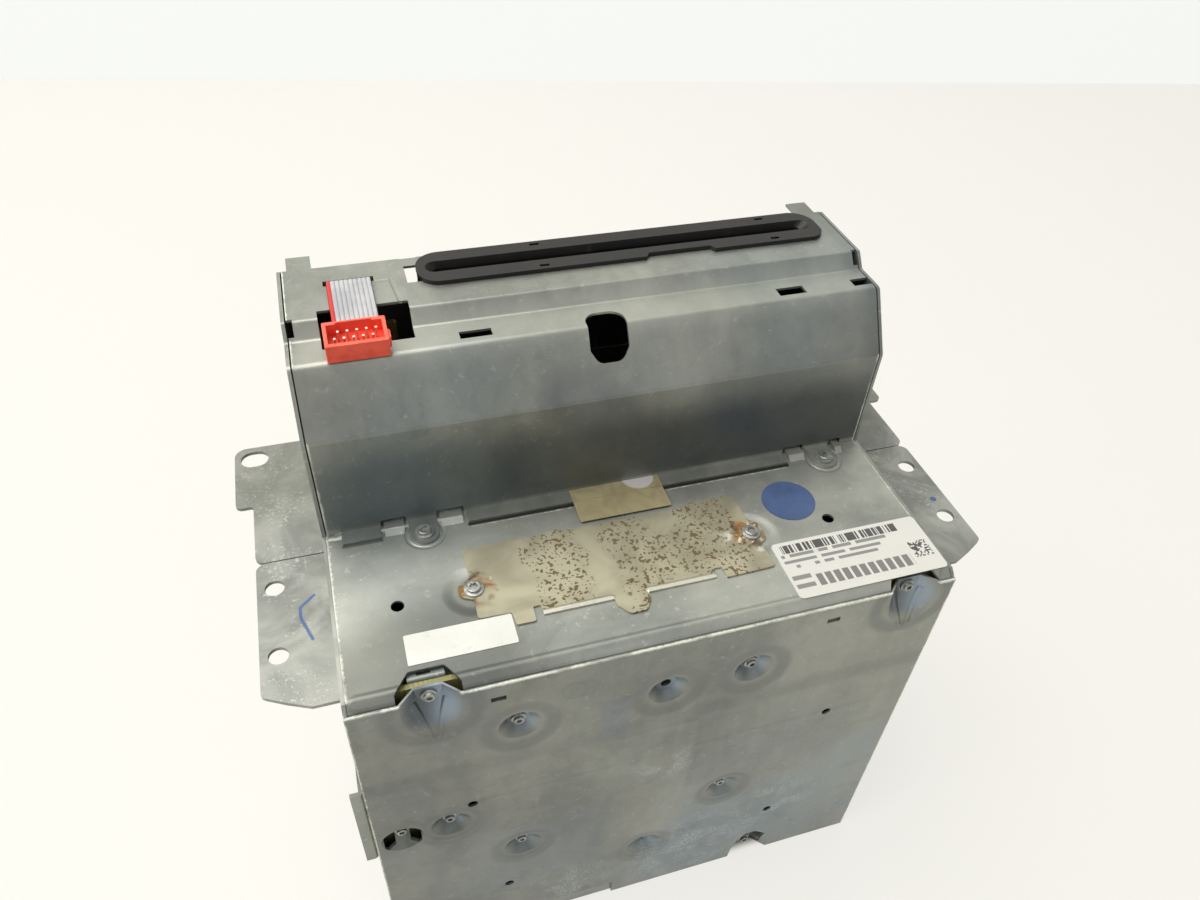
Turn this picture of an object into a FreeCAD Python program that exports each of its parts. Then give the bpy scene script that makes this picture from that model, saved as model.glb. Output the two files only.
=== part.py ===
import FreeCAD, Part
import math
import os
import re

# Car disc player: a slot-loading head unit in a galvanised sheet-metal case, with its loading drive.
#
# Row frame: X across the case, Y from the dimpled front cover (-Y) to the back cover (+Y),
# Z up from the connector end, on which it stands, to the disc slot. Depths are measured from the
# front cover's outer face, heights from the rim where the front cover meets the ledge.
SIZES = {
    # Case
    "body_width": 180.0,
    "body_height": 157.0,
    "body_depth": 117.0,
    "tab_reach": 6.0,
    "wall": 1.0,
    "skin": 0.8,
    "sheet_gap": 0.05,
    "seam": 0.4,
    "bend": 1.2,
    # Ledge
    "ledge_rise": 2.0,
    "ledge_roll": 3.2,
    "ledge_flange": 12.0,
    "ledge_hole_y": 31.1,
    "ledge_hole_left": 72.0,
    "ledge_hole_right": 62.6,
    "ledge_hole_radius": 1.9,
    # Nose
    "nose_front": 62.5,
    "fold_rise": 38.5,
    "shoulder_front": 73.5,
    "shoulder_rise": 57.0,
    "riser_front": 84.9,
    "riser_back": 88.6,
    "nose_rise": 61.5,
    "nose_flange": 10.0,
    "tab_y": 57.4,
    "tab_width": 7.2,
    "tab_inset": 6.4,
    "screw_tab_left": 60.3,
    "screw_tab_right": 74.0,
    "screw_tab_y": 56.2,
    "screw_tab_radius": 4.3,
    "keyhole_width": 12.0,
    "keyhole_reach": 6.6,
    "keyhole_drop": 10.6,
    # Front cover dimples
    "rear_recess": 8.0,
    "dish_rim": 11.2,
    "small_dish_rim": 8.4,
    "dish_shelf": 0.8,
    "dish_mouth": 6.3,
    "dish_floor": 3.2,
    "dish_depth": 3.4,
    "scoop_width": 8.3,
    "scoop_length": 17.5,
    "scoop_floor": 3.7,
    "scoop_depth": 4.3,
    "pin_hole": 1.6,
    # Ears
    "ear_thick": 1.2,
    "ear_drop": 4.0,
    "bolt_margin": 5.0,
    "slot_margin": 6.3,
    "ear_split": 62.0,
    "ear_step": 87.0,
    "ear_back": 115.4,
    "ear_front": 9.0,
    "ear_leg": 20.0,
    "bolt_x": 105.2,
    "bolt_front": 27.3,
    "bolt_pitch": 24.3,
    "bolt_radius": 2.8,
    "slot_hole_x": 109.2,
    "slot_hole_y": 109.5,
    "slot_hole_length": 8.9,
    "slot_hole_width": 7.4,
    "lug_top": 39.5,
    "lug_length": 40.0,
    "lug_width": 3.7,
    # Disc slot
    "disc_thick": 1.2,
    "disc_y": 106.4,
    "slot_x": 16.3,
    "disc_drop": 24.0,
    "mouth_flare": 4.6,
    "mouth_width": 6.0,
    "throat_length": 123.0,
    "throat_width": 4.8,
    "bezel_rim": 2.1,
    "bezel_width": 16.7,
    "bezel_lip": 1.35,
    "bezel_depth": 7.0,
    "sleeve_wall": 2.8,
    "sleeve_width": 12.4,
    # Clamp plate on the ledge
    "clamp_left": 51.2,
    "clamp_right": 37.2,
    "clamp_back": 46.6,
    "clamp_thick": 0.6,
    "clamp_screw_left": 50.4,
    "clamp_screw_right": 35.8,
    "clamp_screw_y": 31.0,
    # Labels
    "label_thick": 0.15,
    "label_width": 49.6,
    "label_height": 21.4,
    "label_x": 64.4,
    "label_y": 14.4,
    "blank_width": 30.0,
    "blank_height": 10.0,
    "blank_x": 57.0,
    "blank_y": 15.4,
    "sticker_radius": 8.6,
    "sticker_x": 53.7,
    "sticker_y": 41.4,
    "tag_width": 29.8,
    "tag_x": 1.3,
    "tag_front": 48.4,
    # Boards and leads
    "board_thick": 1.6,
    "board_front": 5.15,
    "ribbon_width": 12.9,
    "ribbon_thick": 0.9,
    "ribbon_x": 70.1,
    "ribbon_y": 106.4,
    "ribbon_bend": 1.5,
    "plug_width": 16.9,
    "plug_depth": 9.3,
    "plug_height": 6.2,
    "plug_tilt": 11.0,
    "plug_x": 70.8,
    "plug_front": 72.9,
    "pin_pitch": 2.54,
    "opening_left": 80.2,
    "opening_right": 54.7,
    "opening_front": 79.8,
    "opening_back": 92.2,
    # Rear connectors and fan
    "power_width": 44.0,
    "power_depth": 19.0,
    "power_height": 27.0,
    "power_x": 35.0,
    "coax_pitch": 12.0,
    "coax_x": 2.5,
    "coax_radius": 3.6,
    "fan_size": 50.0,
    "fan_thick": 10.0,
    "fan_x": 45.0,
    "fan_y": 74.0,
    "fan_bore": 23.0,
    "fan_hub": 10.0,
    "fan_gap": 0.7,
    # Drive
    "deck_y": 100.6,
    "deck_thick": 1.0,
    "deck_left": 52.0,
    "deck_right": 83.0,
    "deck_top": 28.0,
    "deck_bottom": 97.0,
    "frame_y": 84.0,
    "roller_y": 101.2,
    "roller_rise": 47.0,
    "roller_length": 122.0,
    "roller_radius": 4.5,
    "roller_waist": 3.7,
    "shaft_radius": 1.5,
    "running_gap": 0.06,
    "arm_pivot_y": 96.0,
    "arm_pivot_rise": 20.0,
    "arm_thick": 1.2,
    "gear_module": 0.6,
    "gear_thick": 1.3,
    "gear_layer": 1.45,
    "gear_slack": 0.05,
    "guide_face": 107.2,
    "turntable_radius": 13.5,
    "turntable_top": 104.6,
    "clamp_pivot_y": 104.0,
    "clamp_pivot_drop": 92.0,
    "clamp_open": 2.9,
    "clamper_radius": 12.0,
    "sled_home": 22.0,
    "sled_half": 9.0,
    "rod_y": 95.6,
    "rod_radius": 1.5,
    "rod_left": 5.0,
    "rod_right": 36.0,
    "screw_x": 45.0,
    "slide_travel": 8.0,
}

# Tooth counts of the loading train, from the motor to the roller
PINION_TEETH = 10
WHEEL_TEETH = 32
SMALL_TEETH = 12
IDLER_TEETH = 16
ROLLER_TEETH = 14
FAN_BLADES = 7

doc = FreeCAD.newDocument("CarDiscPlayer")
sheet = doc.addObject("Spreadsheet::Sheet", "Sizes")
for row, (alias, value) in enumerate(SIZES.items(), 1):
    sheet.set(f"A{row}", alias)
    sheet.set(f"B{row}", str(value))
    sheet.setAlias(f"B{row}", alias)
doc.recompute()

Vector = FreeCAD.Vector
X_AXIS = Vector(1, 0, 0)
Y_AXIS = Vector(0, 1, 0)
Z_AXIS = Vector(0, 0, 1)
nodes = {}


class Reader:
    """The sheet's values by name."""

    def __getattr__(self, name):
        return float(sheet.get(name))


d = Reader()


def across(depth):
    """Row Y of a depth behind the front cover's face."""
    return depth - (d.body_depth + d.tab_reach) / 2


def above(rise):
    """Row Z of a height over the rim."""
    return rise + d.body_height


# The same two places as text for expressions
FRONT = "-(body_depth + tab_reach) / 2"
RIM = "body_height"


def bind(item, prop, text):
    """Bind a property to an expression in which plain words are the sheet's names."""
    item.setExpression(prop, re.sub(r"[a-z]\w*", lambda word: "Sizes." + word.group(0), text))


def keep(name, item):
    """Take an object as the sub-part of that name."""
    item.Label = name
    nodes[name] = item
    return item


def points_2d(flat):
    return Vector(flat[0], flat[1], 0)


def closed(points):
    """Lines of a closed outline; a third number in a point rounds that corner to its radius."""
    count = len(points)
    starts = []
    ends = []
    arcs = []
    for index, point in enumerate(points):
        corner = points_2d(point)
        radius = point[2] if len(point) > 2 else 0
        before = points_2d(points[index - 1]) - corner
        after = points_2d(points[(index + 1) % count]) - corner
        before.normalize()
        after.normalize()
        half = before.getAngle(after) / 2
        if radius <= 0 or half > math.radians(89.9):
            starts.append(corner)
            ends.append(corner)
            arcs.append(None)
            continue
        reach = radius / math.tan(half)
        first = corner + before * reach
        last = corner + after * reach
        inward = before + after
        inward.normalize()
        middle = corner + inward * (radius / math.sin(half) - radius)
        starts.append(first)
        ends.append(last)
        arcs.append(Part.Arc(first, middle, last))
    outline = []
    for index in range(count):
        if arcs[index] is not None:
            outline.append(arcs[index])
        here = ends[index]
        there = starts[(index + 1) % count]
        if here.distanceToPoint(there) > 1e-6:
            outline.append(Part.LineSegment(here, there))
    return outline


def rectangle(left, low, right, high, radius=0):
    return closed([(left, low, radius), (right, low, radius), (right, high, radius), (left, high, radius)])


def circle(x, y, radius):
    return [Part.Circle(Vector(x, y, 0), Z_AXIS, radius)]


def slot_outline(x, y, length, width):
    return rectangle(x - length / 2, y - width / 2, x + length / 2, y + width / 2, width / 2 - 0.01)


def strip(points, thickness):
    """Outline of a bent sheet, drawn along its outer line with the sheet on the line's left."""
    flat = [points_2d(point) for point in points]
    radii = [point[2] if len(point) > 2 else 0 for point in points]
    headings = []
    for here, there in zip(flat, flat[1:]):
        step = there - here
        step.normalize()
        headings.append(step)
    inner = []
    for index, corner in enumerate(flat):
        arriving = headings[max(index - 1, 0)]
        leaving = headings[min(index, len(headings) - 1)]
        side_in = Vector(-arriving.y, arriving.x, 0)
        side_out = Vector(-leaving.y, leaving.x, 0)
        shift = (side_in + side_out) * (thickness / (1 + side_in.dot(side_out)))
        turn = arriving.x * leaving.y - arriving.y * leaving.x
        radius = radii[index]
        if radius > 0:
            radius = max(radius - thickness, 0.05) if turn > 0 else radius + thickness
        spot = corner + shift
        inner.append((spot.x, spot.y, radius))
    outer = [(corner.x, corner.y, radius) for corner, radius in zip(flat, radii)]
    return closed(outer + inner[::-1])


def plane_of(body, role):
    for feature in body.Origin.OriginFeatures:
        if feature.Role == role:
            return feature
    raise RuntimeError(f"{body.Name} has no {role}")


def sketch_on(body, role, level, outlines):
    """Sketch on one of the body's origin planes, lifted along its normal by an expression."""
    sketch = body.newObject("Sketcher::SketchObject", body.Name + "_sketch")
    sketch.AttachmentSupport = [(plane_of(body, role), "")]
    sketch.MapMode = "FlatFace"
    bind(sketch, "AttachmentOffset.Base.z", level)
    for outline in outlines:
        sketch.addGeometry(outline, False)
    return sketch


def add_pad(body, role, level, thickness, outlines):
    pad = body.newObject("PartDesign::Pad", body.Name + "_pad")
    pad.Profile = sketch_on(body, role, level, outlines)
    bind(pad, "Length", thickness)
    return pad


def add_pocket(body, role, level, depth, outlines, back=True):
    """Pocket from a level; back=True cuts along the plane's normal, otherwise against it."""
    doc.recompute()
    before = body.Tip.Shape.Volume
    pocket = body.newObject("PartDesign::Pocket", body.Name + "_pocket")
    pocket.Profile = sketch_on(body, role, level, outlines)
    bind(pocket, "Length", depth)
    pocket.Reversed = back
    doc.recompute()
    if pocket.Shape.Volume > before - 1e-6:
        raise RuntimeError(f"{body.Name}: a pocket cuts nothing")
    return pocket


def padded(name, role, level, thickness, outlines):
    """Body of one pad."""
    body = doc.addObject("PartDesign::Body", name)
    add_pad(body, role, level, thickness, outlines)
    return body


def turned(name, profile):
    """Body turned about its own Z axis from a profile of radius and height."""
    body = doc.addObject("PartDesign::Body", name)
    feature = body.newObject("PartDesign::Revolution", name + "_turn")
    feature.Profile = sketch_on(body, "XZ_Plane", "0", [closed(profile)])
    feature.ReferenceAxis = (feature.Profile[0], ["V_Axis"])
    feature.Angle = 360
    return body


TURNS = {
    "Z": FreeCAD.Rotation(),
    "X": FreeCAD.Rotation(Y_AXIS, 90),
    "-X": FreeCAD.Rotation(Y_AXIS, -90),
    "Y": FreeCAD.Rotation(X_AXIS, -90),
    "-Y": FreeCAD.Rotation(X_AXIS, 90),
    "-Z": FreeCAD.Rotation(X_AXIS, 180),
}


def place(item, x, y, z, heading="Z"):
    """Set an object's own Z axis along a heading, at a place given as three expressions."""
    item.Placement = FreeCAD.Placement(Vector(), TURNS[heading])
    bind(item, "Placement.Base.x", x)
    bind(item, "Placement.Base.y", y)
    bind(item, "Placement.Base.z", z)
    return item


def box(name, length, width, height, x, y, z):
    """Box with its low corner at a place; all six are expressions."""
    item = doc.addObject("Part::Box", name)
    bind(item, "Length", length)
    bind(item, "Width", width)
    bind(item, "Height", height)
    return place(item, x, y, z)


def rod(name, radius, length, x, y, z, heading):
    item = doc.addObject("Part::Cylinder", name)
    bind(item, "Radius", radius)
    bind(item, "Height", length)
    return place(item, x, y, z, heading)


def joined(name, parts):
    item = doc.addObject("Part::MultiFuse", name)
    item.Shapes = parts
    return item


def without(name, base, tool):
    item = doc.addObject("Part::Cut", name)
    item.Base = base
    item.Tool = tool
    return item


def fixed_shape(name, shape):
    item = doc.addObject("Part::Feature", name)
    item.Shape = shape
    return item


def copies(name, master, places):
    """One node of separate solids: a master's shape at each placement."""
    doc.recompute()
    solids = []
    for spot in places:
        solid = master.Shape.copy()
        solid.Placement = spot
        solids.append(solid)
    return fixed_shape(name, Part.makeCompound(solids))


def spot(x, depth, rise, heading="Z"):
    return FreeCAD.Placement(Vector(x, across(depth), above(rise)), TURNS[heading])


def side_profile(inset):
    """Outline of the case from the side, as depth and rise, moved inwards where inset is set."""
    return [
        (across(d.nose_front), above(d.ledge_rise), 0),
        (across(d.nose_front), above(d.fold_rise), d.bend + 1),
        (across(d.shoulder_front), above(d.shoulder_rise), d.bend + 1),
        (across(d.riser_front), above(d.shoulder_rise), d.bend),
        (across(d.riser_back), above(d.nose_rise), d.bend),
        (across(d.body_depth - d.skin - inset), above(d.nose_rise), d.bend),
    ]


# Places of the front cover's dimples, as X and rise: wide dishes, small dishes, half dishes at the
# rim, and the two lanced ones at the left edge and the lower edge
WIDE_DISHES = [(-44.3, -23.4), (0.5, -24.0), (27.8, -23.4)]
SMALL_DISHES = [(-67.0, -70.2), (-44.4, -97.2), (0.5, -124.2), (27.8, -95.6)]
PLAIN_DISHES = [(0.5, -24.0), (0.5, -124.2)]
RIM_SCOOPS = [-68.0, 76.6]
LANCED_DISH = (-82.0, -70.6)
LANCED_SCOOP = 47.0
# Reliefs in the nose's foot, over ridges of the ledge, as their X ranges
RELIEFS = [(-72.7, -65.0), (-55.8, -47.3), (61.5, 68.9), (78.7, 83.0)]
SMALL_HOLES = [(-59.8, -60.0), (60.3, -59.8), (-49.8, -123.5), (50.0, -122.8)]
SLOT_HOLES = [-50.2, 50.4]


def side_walls():
    """Flat side plates; their top edges follow the ledge and the nose."""
    top = side_profile(d.sheet_gap)
    front = across(d.skin + d.sheet_gap)
    outline = [(front, 0), (front, above(0)), (across(d.ledge_roll), above(d.ledge_rise))]
    outline += [(y, z, r) for y, z, r in top]
    outline.append((across(d.body_depth - d.skin - d.sheet_gap), 0))
    left = padded("side_wall_left", "YZ_Plane", "-body_width / 2", "wall", [closed(outline)])
    right = padded("side_wall_right", "YZ_Plane", "body_width / 2 - wall", "wall", [closed(outline)])
    keep("side_wall_left", left)
    keep("side_wall_right", right)


def ledge():
    """The step plate in front of the nose, rolled down at its front edge, cut out at the rim screws."""
    half = d.body_width / 2 - d.wall - d.sheet_gap
    front = d.skin + d.sheet_gap
    line = [
        (across(d.nose_front + 4.0), above(d.ledge_rise)),
        (across(front + d.ledge_roll), above(d.ledge_rise), d.bend + 1),
        (across(front), above(-0.2), d.bend),
        (across(front), above(-d.ledge_flange)),
    ]
    body = doc.addObject("PartDesign::Body", "ledge_plate")
    add_pad(body, "YZ_Plane", f"-{half}", f"{2 * half}", [strip(line, d.skin)])
    left = RIM_SCOOPS[0]
    right = RIM_SCOOPS[1]
    reach = d.scoop_width + 0.5
    cuts = [
        closed([
            (left - reach, across(0)),
            (left - reach, across(3.0)),
            (left - 4.5, across(8.8), 1),
            (left + 5.2, across(8.8), 1),
            (left + reach, across(3.0)),
            (left + reach, across(0)),
        ]),
        closed([
            (right - reach, across(0)),
            (right - 5.6, across(7.4), 1),
            (right + 5.6, across(7.4), 1),
            (right + reach, across(0)),
        ]),
        circle(-d.ledge_hole_left, across(d.ledge_hole_y), d.ledge_hole_radius),
        circle(d.ledge_hole_right, across(d.ledge_hole_y), d.ledge_hole_radius),
    ]
    for x, y, radius in ledge_screw_holes():
        cuts.append(circle(x, y, radius))
    add_pocket(body, "XY_Plane", RIM + " + ledge_rise + 1", "ledge_flange + 8", cuts, back=False)
    top = above(d.ledge_rise)
    ridge = closed([
        (across(57.6), top - 0.3),
        (across(59.8), top + 1.4, 0.8),
        (across(66.4), top + 1.4),
        (across(66.4), top - 0.3),
    ])
    for left_x, right_x in RELIEFS:
        add_pad(body, "YZ_Plane", f"{left_x + 0.9}", f"{right_x - left_x - 1.8}", [ridge])
    keep("ledge_plate", body)


def ledge_screw_holes():
    """Clearance holes under the tab screws and the clamp screws."""
    radius = d.pin_hole + 0.1
    return [
        (-d.screw_tab_left, across(d.screw_tab_y), radius),
        (d.screw_tab_right, across(d.screw_tab_y), radius),
        (-d.clamp_screw_left, across(d.clamp_screw_y), radius),
        (d.clamp_screw_right, across(d.clamp_screw_y), radius),
    ]


def nose():
    """Cover round the disc slot: two front faces, a shoulder, a riser and the flat top, in one sheet."""
    half = d.body_width / 2 - d.wall - d.seam
    lift = d.ledge_rise + d.sheet_gap
    line = side_profile(d.sheet_gap)
    line[0] = (line[0][0], above(lift), 0)
    line.append((line[-1][0], above(d.nose_rise - d.nose_flange)))
    body = doc.addObject("PartDesign::Body", "nose_cover")
    add_pad(body, "YZ_Plane", f"-{half}", f"{2 * half}", [strip(line[::-1], d.skin)])
    inside = across(d.nose_front + d.skin)
    tab = across(d.tab_y)
    radius = d.screw_tab_radius
    screw = across(d.screw_tab_y)
    tabs = [rectangle(-84.4, tab, -73.0, inside, 0), rectangle(-46.7, tab, 61.0, inside, 0)]
    add_pad(body, "XY_Plane", f"{RIM} + ledge_rise + sheet_gap", "skin", tabs)
    for x in (-d.screw_tab_left, d.screw_tab_right):
        tongue = closed([
            (x - radius, inside),
            (x - radius, screw - radius, radius - 0.01),
            (x + radius, screw - radius, radius - 0.01),
            (x + radius, inside),
        ])
        eye = circle(x, screw, d.pin_hole)
        add_pad(body, "XY_Plane", f"{RIM} + ledge_rise + sheet_gap", "skin", [tongue, eye])
    edge = d.body_width / 2 - d.tab_inset
    back = across(d.body_depth + d.tab_reach)
    rear = [
        rectangle(-edge - d.tab_width / 2 + 0.1, across(d.body_depth - 4), -edge + d.tab_width / 2, back, 0),
        rectangle(edge - d.tab_width / 2, across(d.body_depth - 4), edge + d.tab_width / 2 - 0.1, back, 0),
    ]
    add_pad(body, "XY_Plane", f"{RIM} + nose_rise - skin", "skin", rear)
    reliefs = []
    for left, right in RELIEFS:
        reliefs.append(rectangle(left, above(lift - 1), right, above(lift + 2.6), 0.8))
    level = "(body_depth + tab_reach) / 2 - nose_front + 1"
    add_pocket(body, "XZ_Plane", level, "skin + 2", reliefs, back=False)
    openings = [
        rectangle(-d.opening_left, across(d.opening_front), -d.opening_right, across(d.opening_back), 0.4),
        rectangle(-42.6, across(76.2), -33.3, across(79.6)),
        rectangle(56.7, across(76.0), 65.8, across(80.0)),
        rectangle(82.4, across(76.0), half + 2, across(79.7)),
        rectangle(-half - 2, across(85.8), -half + 1.6, across(89.6)),
        rectangle(half - 1.6, across(85.8), half + 2, across(89.6)),
        rectangle(-d.ribbon_x - 7.3, across(d.ribbon_y - 1.7), -d.ribbon_x + 7.3, across(d.ribbon_y + 1.0)),
    ]
    sleeve = d.throat_length / 2 + d.sleeve_wall + 0.3
    openings.append(rectangle(
        d.slot_x - sleeve, across(d.disc_y - d.sleeve_width / 2 - 0.3),
        d.slot_x + sleeve, across(d.disc_y + d.sleeve_width / 2 + 0.3), 1.5,
    ))
    openings.append(rectangle(-53.4, across(101.4), d.slot_x - sleeve - 0.8, across(110.8)))
    add_pocket(body, "XY_Plane", f"{RIM} + nose_rise + 1", "skin + 6.5", openings, back=False)
    gap = rectangle(-54.0, above(d.nose_rise - d.nose_flange - 1), -49.0, above(d.nose_rise - d.skin - 0.1))
    add_pocket(body, "XZ_Plane", "-(body_depth + tab_reach) / 2 + tab_reach - 2", "4", [gap], back=True)
    keyhole = keyhole_tool()
    keep("nose_cover", without("nose_cover_cut", body, keyhole))


def keyhole_tool():
    """The dark keyhole on the shoulder bend: an arch on the flat above it, a rounded drop below it."""
    lean = math.atan2(d.shoulder_front - d.nose_front, d.shoulder_rise - d.fold_rise)
    half = d.keyhole_width / 2
    arch = Part.Face(Part.Wire([edge.toShape() for edge in closed([
        (-half, across(d.shoulder_front - 6)),
        (-half, across(d.shoulder_front + d.keyhole_reach), half - 1.6),
        (half, across(d.shoulder_front + d.keyhole_reach), half - 1.6),
        (half, across(d.shoulder_front - 6)),
    ])]))
    upper = arch.extrude(Vector(0, 0, 3.2))
    upper.translate(Vector(0, 0, above(d.shoulder_rise - d.skin - 0.6)))
    drop = Part.Face(Part.Wire([edge.toShape() for edge in closed([
        (-half, 2.0),
        (-half, -d.keyhole_drop * 0.62, 1.0),
        (-half * 0.62, -d.keyhole_drop, half * 0.55),
        (half * 0.62, -d.keyhole_drop, half * 0.55),
        (half, -d.keyhole_drop * 0.62, 1.0),
        (half, 2.0),
    ])]))
    lower = drop.extrude(Vector(0, 0, 3.2))
    lower.Placement = FreeCAD.Placement(
        Vector(0, across(d.shoulder_front) + 1.6, above(d.shoulder_rise) - 1.6),
        FreeCAD.Rotation(X_AXIS, 90 - math.degrees(lean)),
    )
    return fixed_shape("keyhole_cut", upper.fuse(lower))


def dish(rim, shelf, name):
    """Pressed dish of the sheet's own thickness round Z, opening downwards, with a hole in its floor."""
    mouth = d.dish_mouth
    floor = d.dish_floor
    depth = d.dish_depth
    profile = [
        (rim, 0),
        (mouth, shelf),
        (floor, depth),
        (d.pin_hole, depth),
        (d.pin_hole, depth + d.skin),
        (floor + 0.3, depth + d.skin),
        (mouth + 0.3, shelf + d.skin),
        (rim + 0.4, d.skin),
        (rim + 0.4, 0),
    ]
    return turned(name, profile)


def scoop(width, length, name):
    """Half dish that opens at an edge: an elliptical scoop of the sheet's own thickness, edge at Z = 0."""
    def ring(half_width, half_length, depth):
        curve = Part.Ellipse(Vector(0, depth, 0), max(half_width, half_length), min(half_width, half_length))
        shape = curve.toShape()
        shape.rotate(Vector(0, depth, 0), X_AXIS, 90)
        shape.rotate(Vector(0, depth, 0), Y_AXIS, 90)
        return Part.Wire([shape])

    outer = ring(width, length, 0)
    inner = ring(d.scoop_floor, d.scoop_floor * 1.9, d.scoop_depth)
    cavity = Part.makeLoft([outer, inner], True, True)
    skirt = Part.Face(outer).extrude(Vector(0, d.skin, 0))
    body = cavity.copy()
    body.translate(Vector(0, d.skin, 0))
    shell = body.fuse(skirt).cut(cavity)
    hole = Part.makeCylinder(d.pin_hole, 12, Vector(0, 0, -3.4), Y_AXIS)
    return shell.cut(hole), Part.Face(outer).extrude(Vector(0, d.skin, 0))


def half_space(low, high):
    return Part.makeBox(400, 200, high - low, Vector(-200, across(0) - 20, low))


def front_cover():
    """The dimpled cover plate."""
    half = d.body_width / 2
    holes = []
    for x, rise in WIDE_DISHES:
        holes.append(circle(x, above(rise), d.dish_rim))
    for x, rise in SMALL_DISHES:
        holes.append(circle(x, above(rise), d.small_dish_rim))
    x, rise = LANCED_DISH
    lanced = d.dish_mouth + 0.2
    holes.append(circle(x, above(rise), lanced))
    for x, rise in SMALL_HOLES:
        holes.append(circle(x, above(rise), 1.6))
    for x in SLOT_HOLES:
        holes.append(rectangle(x - 2.1, above(-7.5), x + 2.1, above(-5.6)))
    outline = closed([
        (-half, 0),
        (-60.0, 0),
        (-60.0, d.rear_recess, 1),
        (-10.4, d.rear_recess, 1),
        (-10.4, 0),
        (half, 0),
        (half, above(0)),
        (-half, above(0)),
    ])
    level = "(body_depth + tab_reach) / 2 - skin"
    plate = padded("front_plate", "XZ_Plane", level, "skin", [outline] + holes)
    wide = dish(d.dish_rim, d.dish_shelf, "wide_dish")
    small = dish(d.small_dish_rim, d.dish_shelf * 0.6, "small_dish")
    doc.recompute()
    parts = [plate.Shape]
    for x, rise in WIDE_DISHES:
        pressed = wide.Shape.copy()
        pressed.Placement = spot(x, 0, rise, "Y")
        parts.append(pressed)
    for x, rise in SMALL_DISHES:
        pressed = small.Shape.copy()
        pressed.Placement = spot(x, 0, rise, "Y")
        parts.append(pressed)
    small_lanced = dish(lanced, 0.2, "lanced_dish")
    doc.recompute()
    pressed = small_lanced.Shape.copy()
    x, rise = LANCED_DISH
    for side in (-1, 1):
        window = Part.makeBox(3.4, 8, 8.2, Vector(side * 4.0 - 1.7, -1, -4.6))
        pressed = pressed.cut(spun_window(window))
    pressed.Placement = spot(x, 0, rise, "Y")
    parts.append(pressed)
    cover = parts[0].fuse(parts[1:])
    for x in RIM_SCOOPS:
        shell, hole = scoop(d.scoop_width, d.scoop_length, "scoop")
        move = Vector(x, across(0), above(0))
        shell.translate(move)
        hole.translate(move)
        shell = shell.common(half_space(0, above(0)))
        cover = cover.cut(hole).fuse(shell)
    shell, hole = scoop(d.scoop_width, d.scoop_length, "scoop")
    for side in (-1, 1):
        shell = shell.cut(Part.makeBox(3.6, 14, 11.0, Vector(side * 4.4 - 1.8, -2, -12.0)))
    for item in (shell, hole):
        item.rotate(Vector(), Y_AXIS, 180)
        item.translate(Vector(LANCED_SCOOP, across(0), 0))
    shell = shell.common(half_space(0, above(0)))
    cover = cover.cut(hole).fuse(shell).removeSplitter()
    keep("front_cover", fixed_shape("front_cover", cover))


def spun_window(window):
    """A window box given in the cover's directions, turned into the dish's own frame."""
    turn = FreeCAD.Placement(Vector(), TURNS["Y"]).inverse()
    window.Placement = turn
    return window


def back_cover():
    """Plain cover on the back, with four pressed dishes, a vent field and a notch left of the slot."""
    half = d.body_width / 2
    top = above(d.nose_rise - d.skin - d.sheet_gap)
    outline = closed([
        (-half, 0),
        (half, 0),
        (half, top),
        (-49.0, top),
        (-49.0, top - 9),
        (-54.0, top - 9),
        (-54.0, top),
        (-half, top),
    ])
    holes = []
    for row in range(5):
        for column in range(4):
            z = above(-139 + 7.0 * row)
            x = -62 + 15.0 * column
            holes.append(rectangle(x - 5.5, z - 1.2, x + 5.5, z + 1.2))
    for x in (-78, 78):
        for rise in (48, -60, -140):
            holes.append(circle(x, above(rise), d.pin_hole))
    level = "-(body_depth + tab_reach) / 2 + tab_reach"
    cover = padded("back_cover", "XZ_Plane", level, "skin", [outline] + holes)
    bead = [rectangle(-66, above(-92), 66, above(-88), 1.9), rectangle(-66, above(28), 66, above(32), 1.9)]
    add_pocket(cover, "XZ_Plane", level, "skin / 2", bead, back=True)
    keep("back_cover", cover)


def rear_panel():
    """The recessed connector panel, a tray with its flanges towards the open end."""
    half = d.body_width / 2 - d.wall - d.sheet_gap
    front = d.skin + d.sheet_gap
    back = d.body_depth - d.skin - d.sheet_gap
    line = [
        (across(front), 0.4),
        (across(front), d.rear_recess + d.wall, d.bend),
        (across(back), d.rear_recess + d.wall, d.bend),
        (across(back), 0.4),
    ]
    body = doc.addObject("PartDesign::Body", "rear_panel")
    add_pad(body, "YZ_Plane", f"-{half}", f"{2 * half}", [strip(line[::-1], d.wall)])
    power = d.power_width / 2 + 0.4
    room = d.scoop_width + 0.6
    low = d.board_front + d.board_thick
    cuts = [
        rectangle(
            -d.power_x - power, across(low - 0.4),
            -d.power_x + power, across(low + d.power_depth + 0.4),
        ),
        circle(d.fan_x, across(d.fan_y), 4.0),
        rectangle(
            LANCED_SCOOP - room, across(-1),
            LANCED_SCOOP + room, across(d.scoop_depth + d.skin + 0.3),
        ),
    ]
    for index in range(4):
        x = d.coax_x + d.coax_pitch * index
        cuts.append(rectangle(x - 5.4, across(low - 0.4), x + 5.4, across(low + 11.2)))
    screw = d.fan_size / 2 - 4
    for sx in (-1, 1):
        for sy in (-1, 1):
            cuts.append(circle(d.fan_x + sx * screw, across(d.fan_y) + sy * screw, d.pin_hole + 0.2))
    for ring_radius in (7.5, 12.5, 17.5):
        for quarter in range(4):
            cuts.append(ring_slot(d.fan_x, across(d.fan_y), ring_radius, 2.6, 90 * quarter + 9, 72))
    add_pocket(body, "XY_Plane", "-1", "rear_recess + wall + 2", cuts, back=True)
    keep("rear_panel", body)


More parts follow.
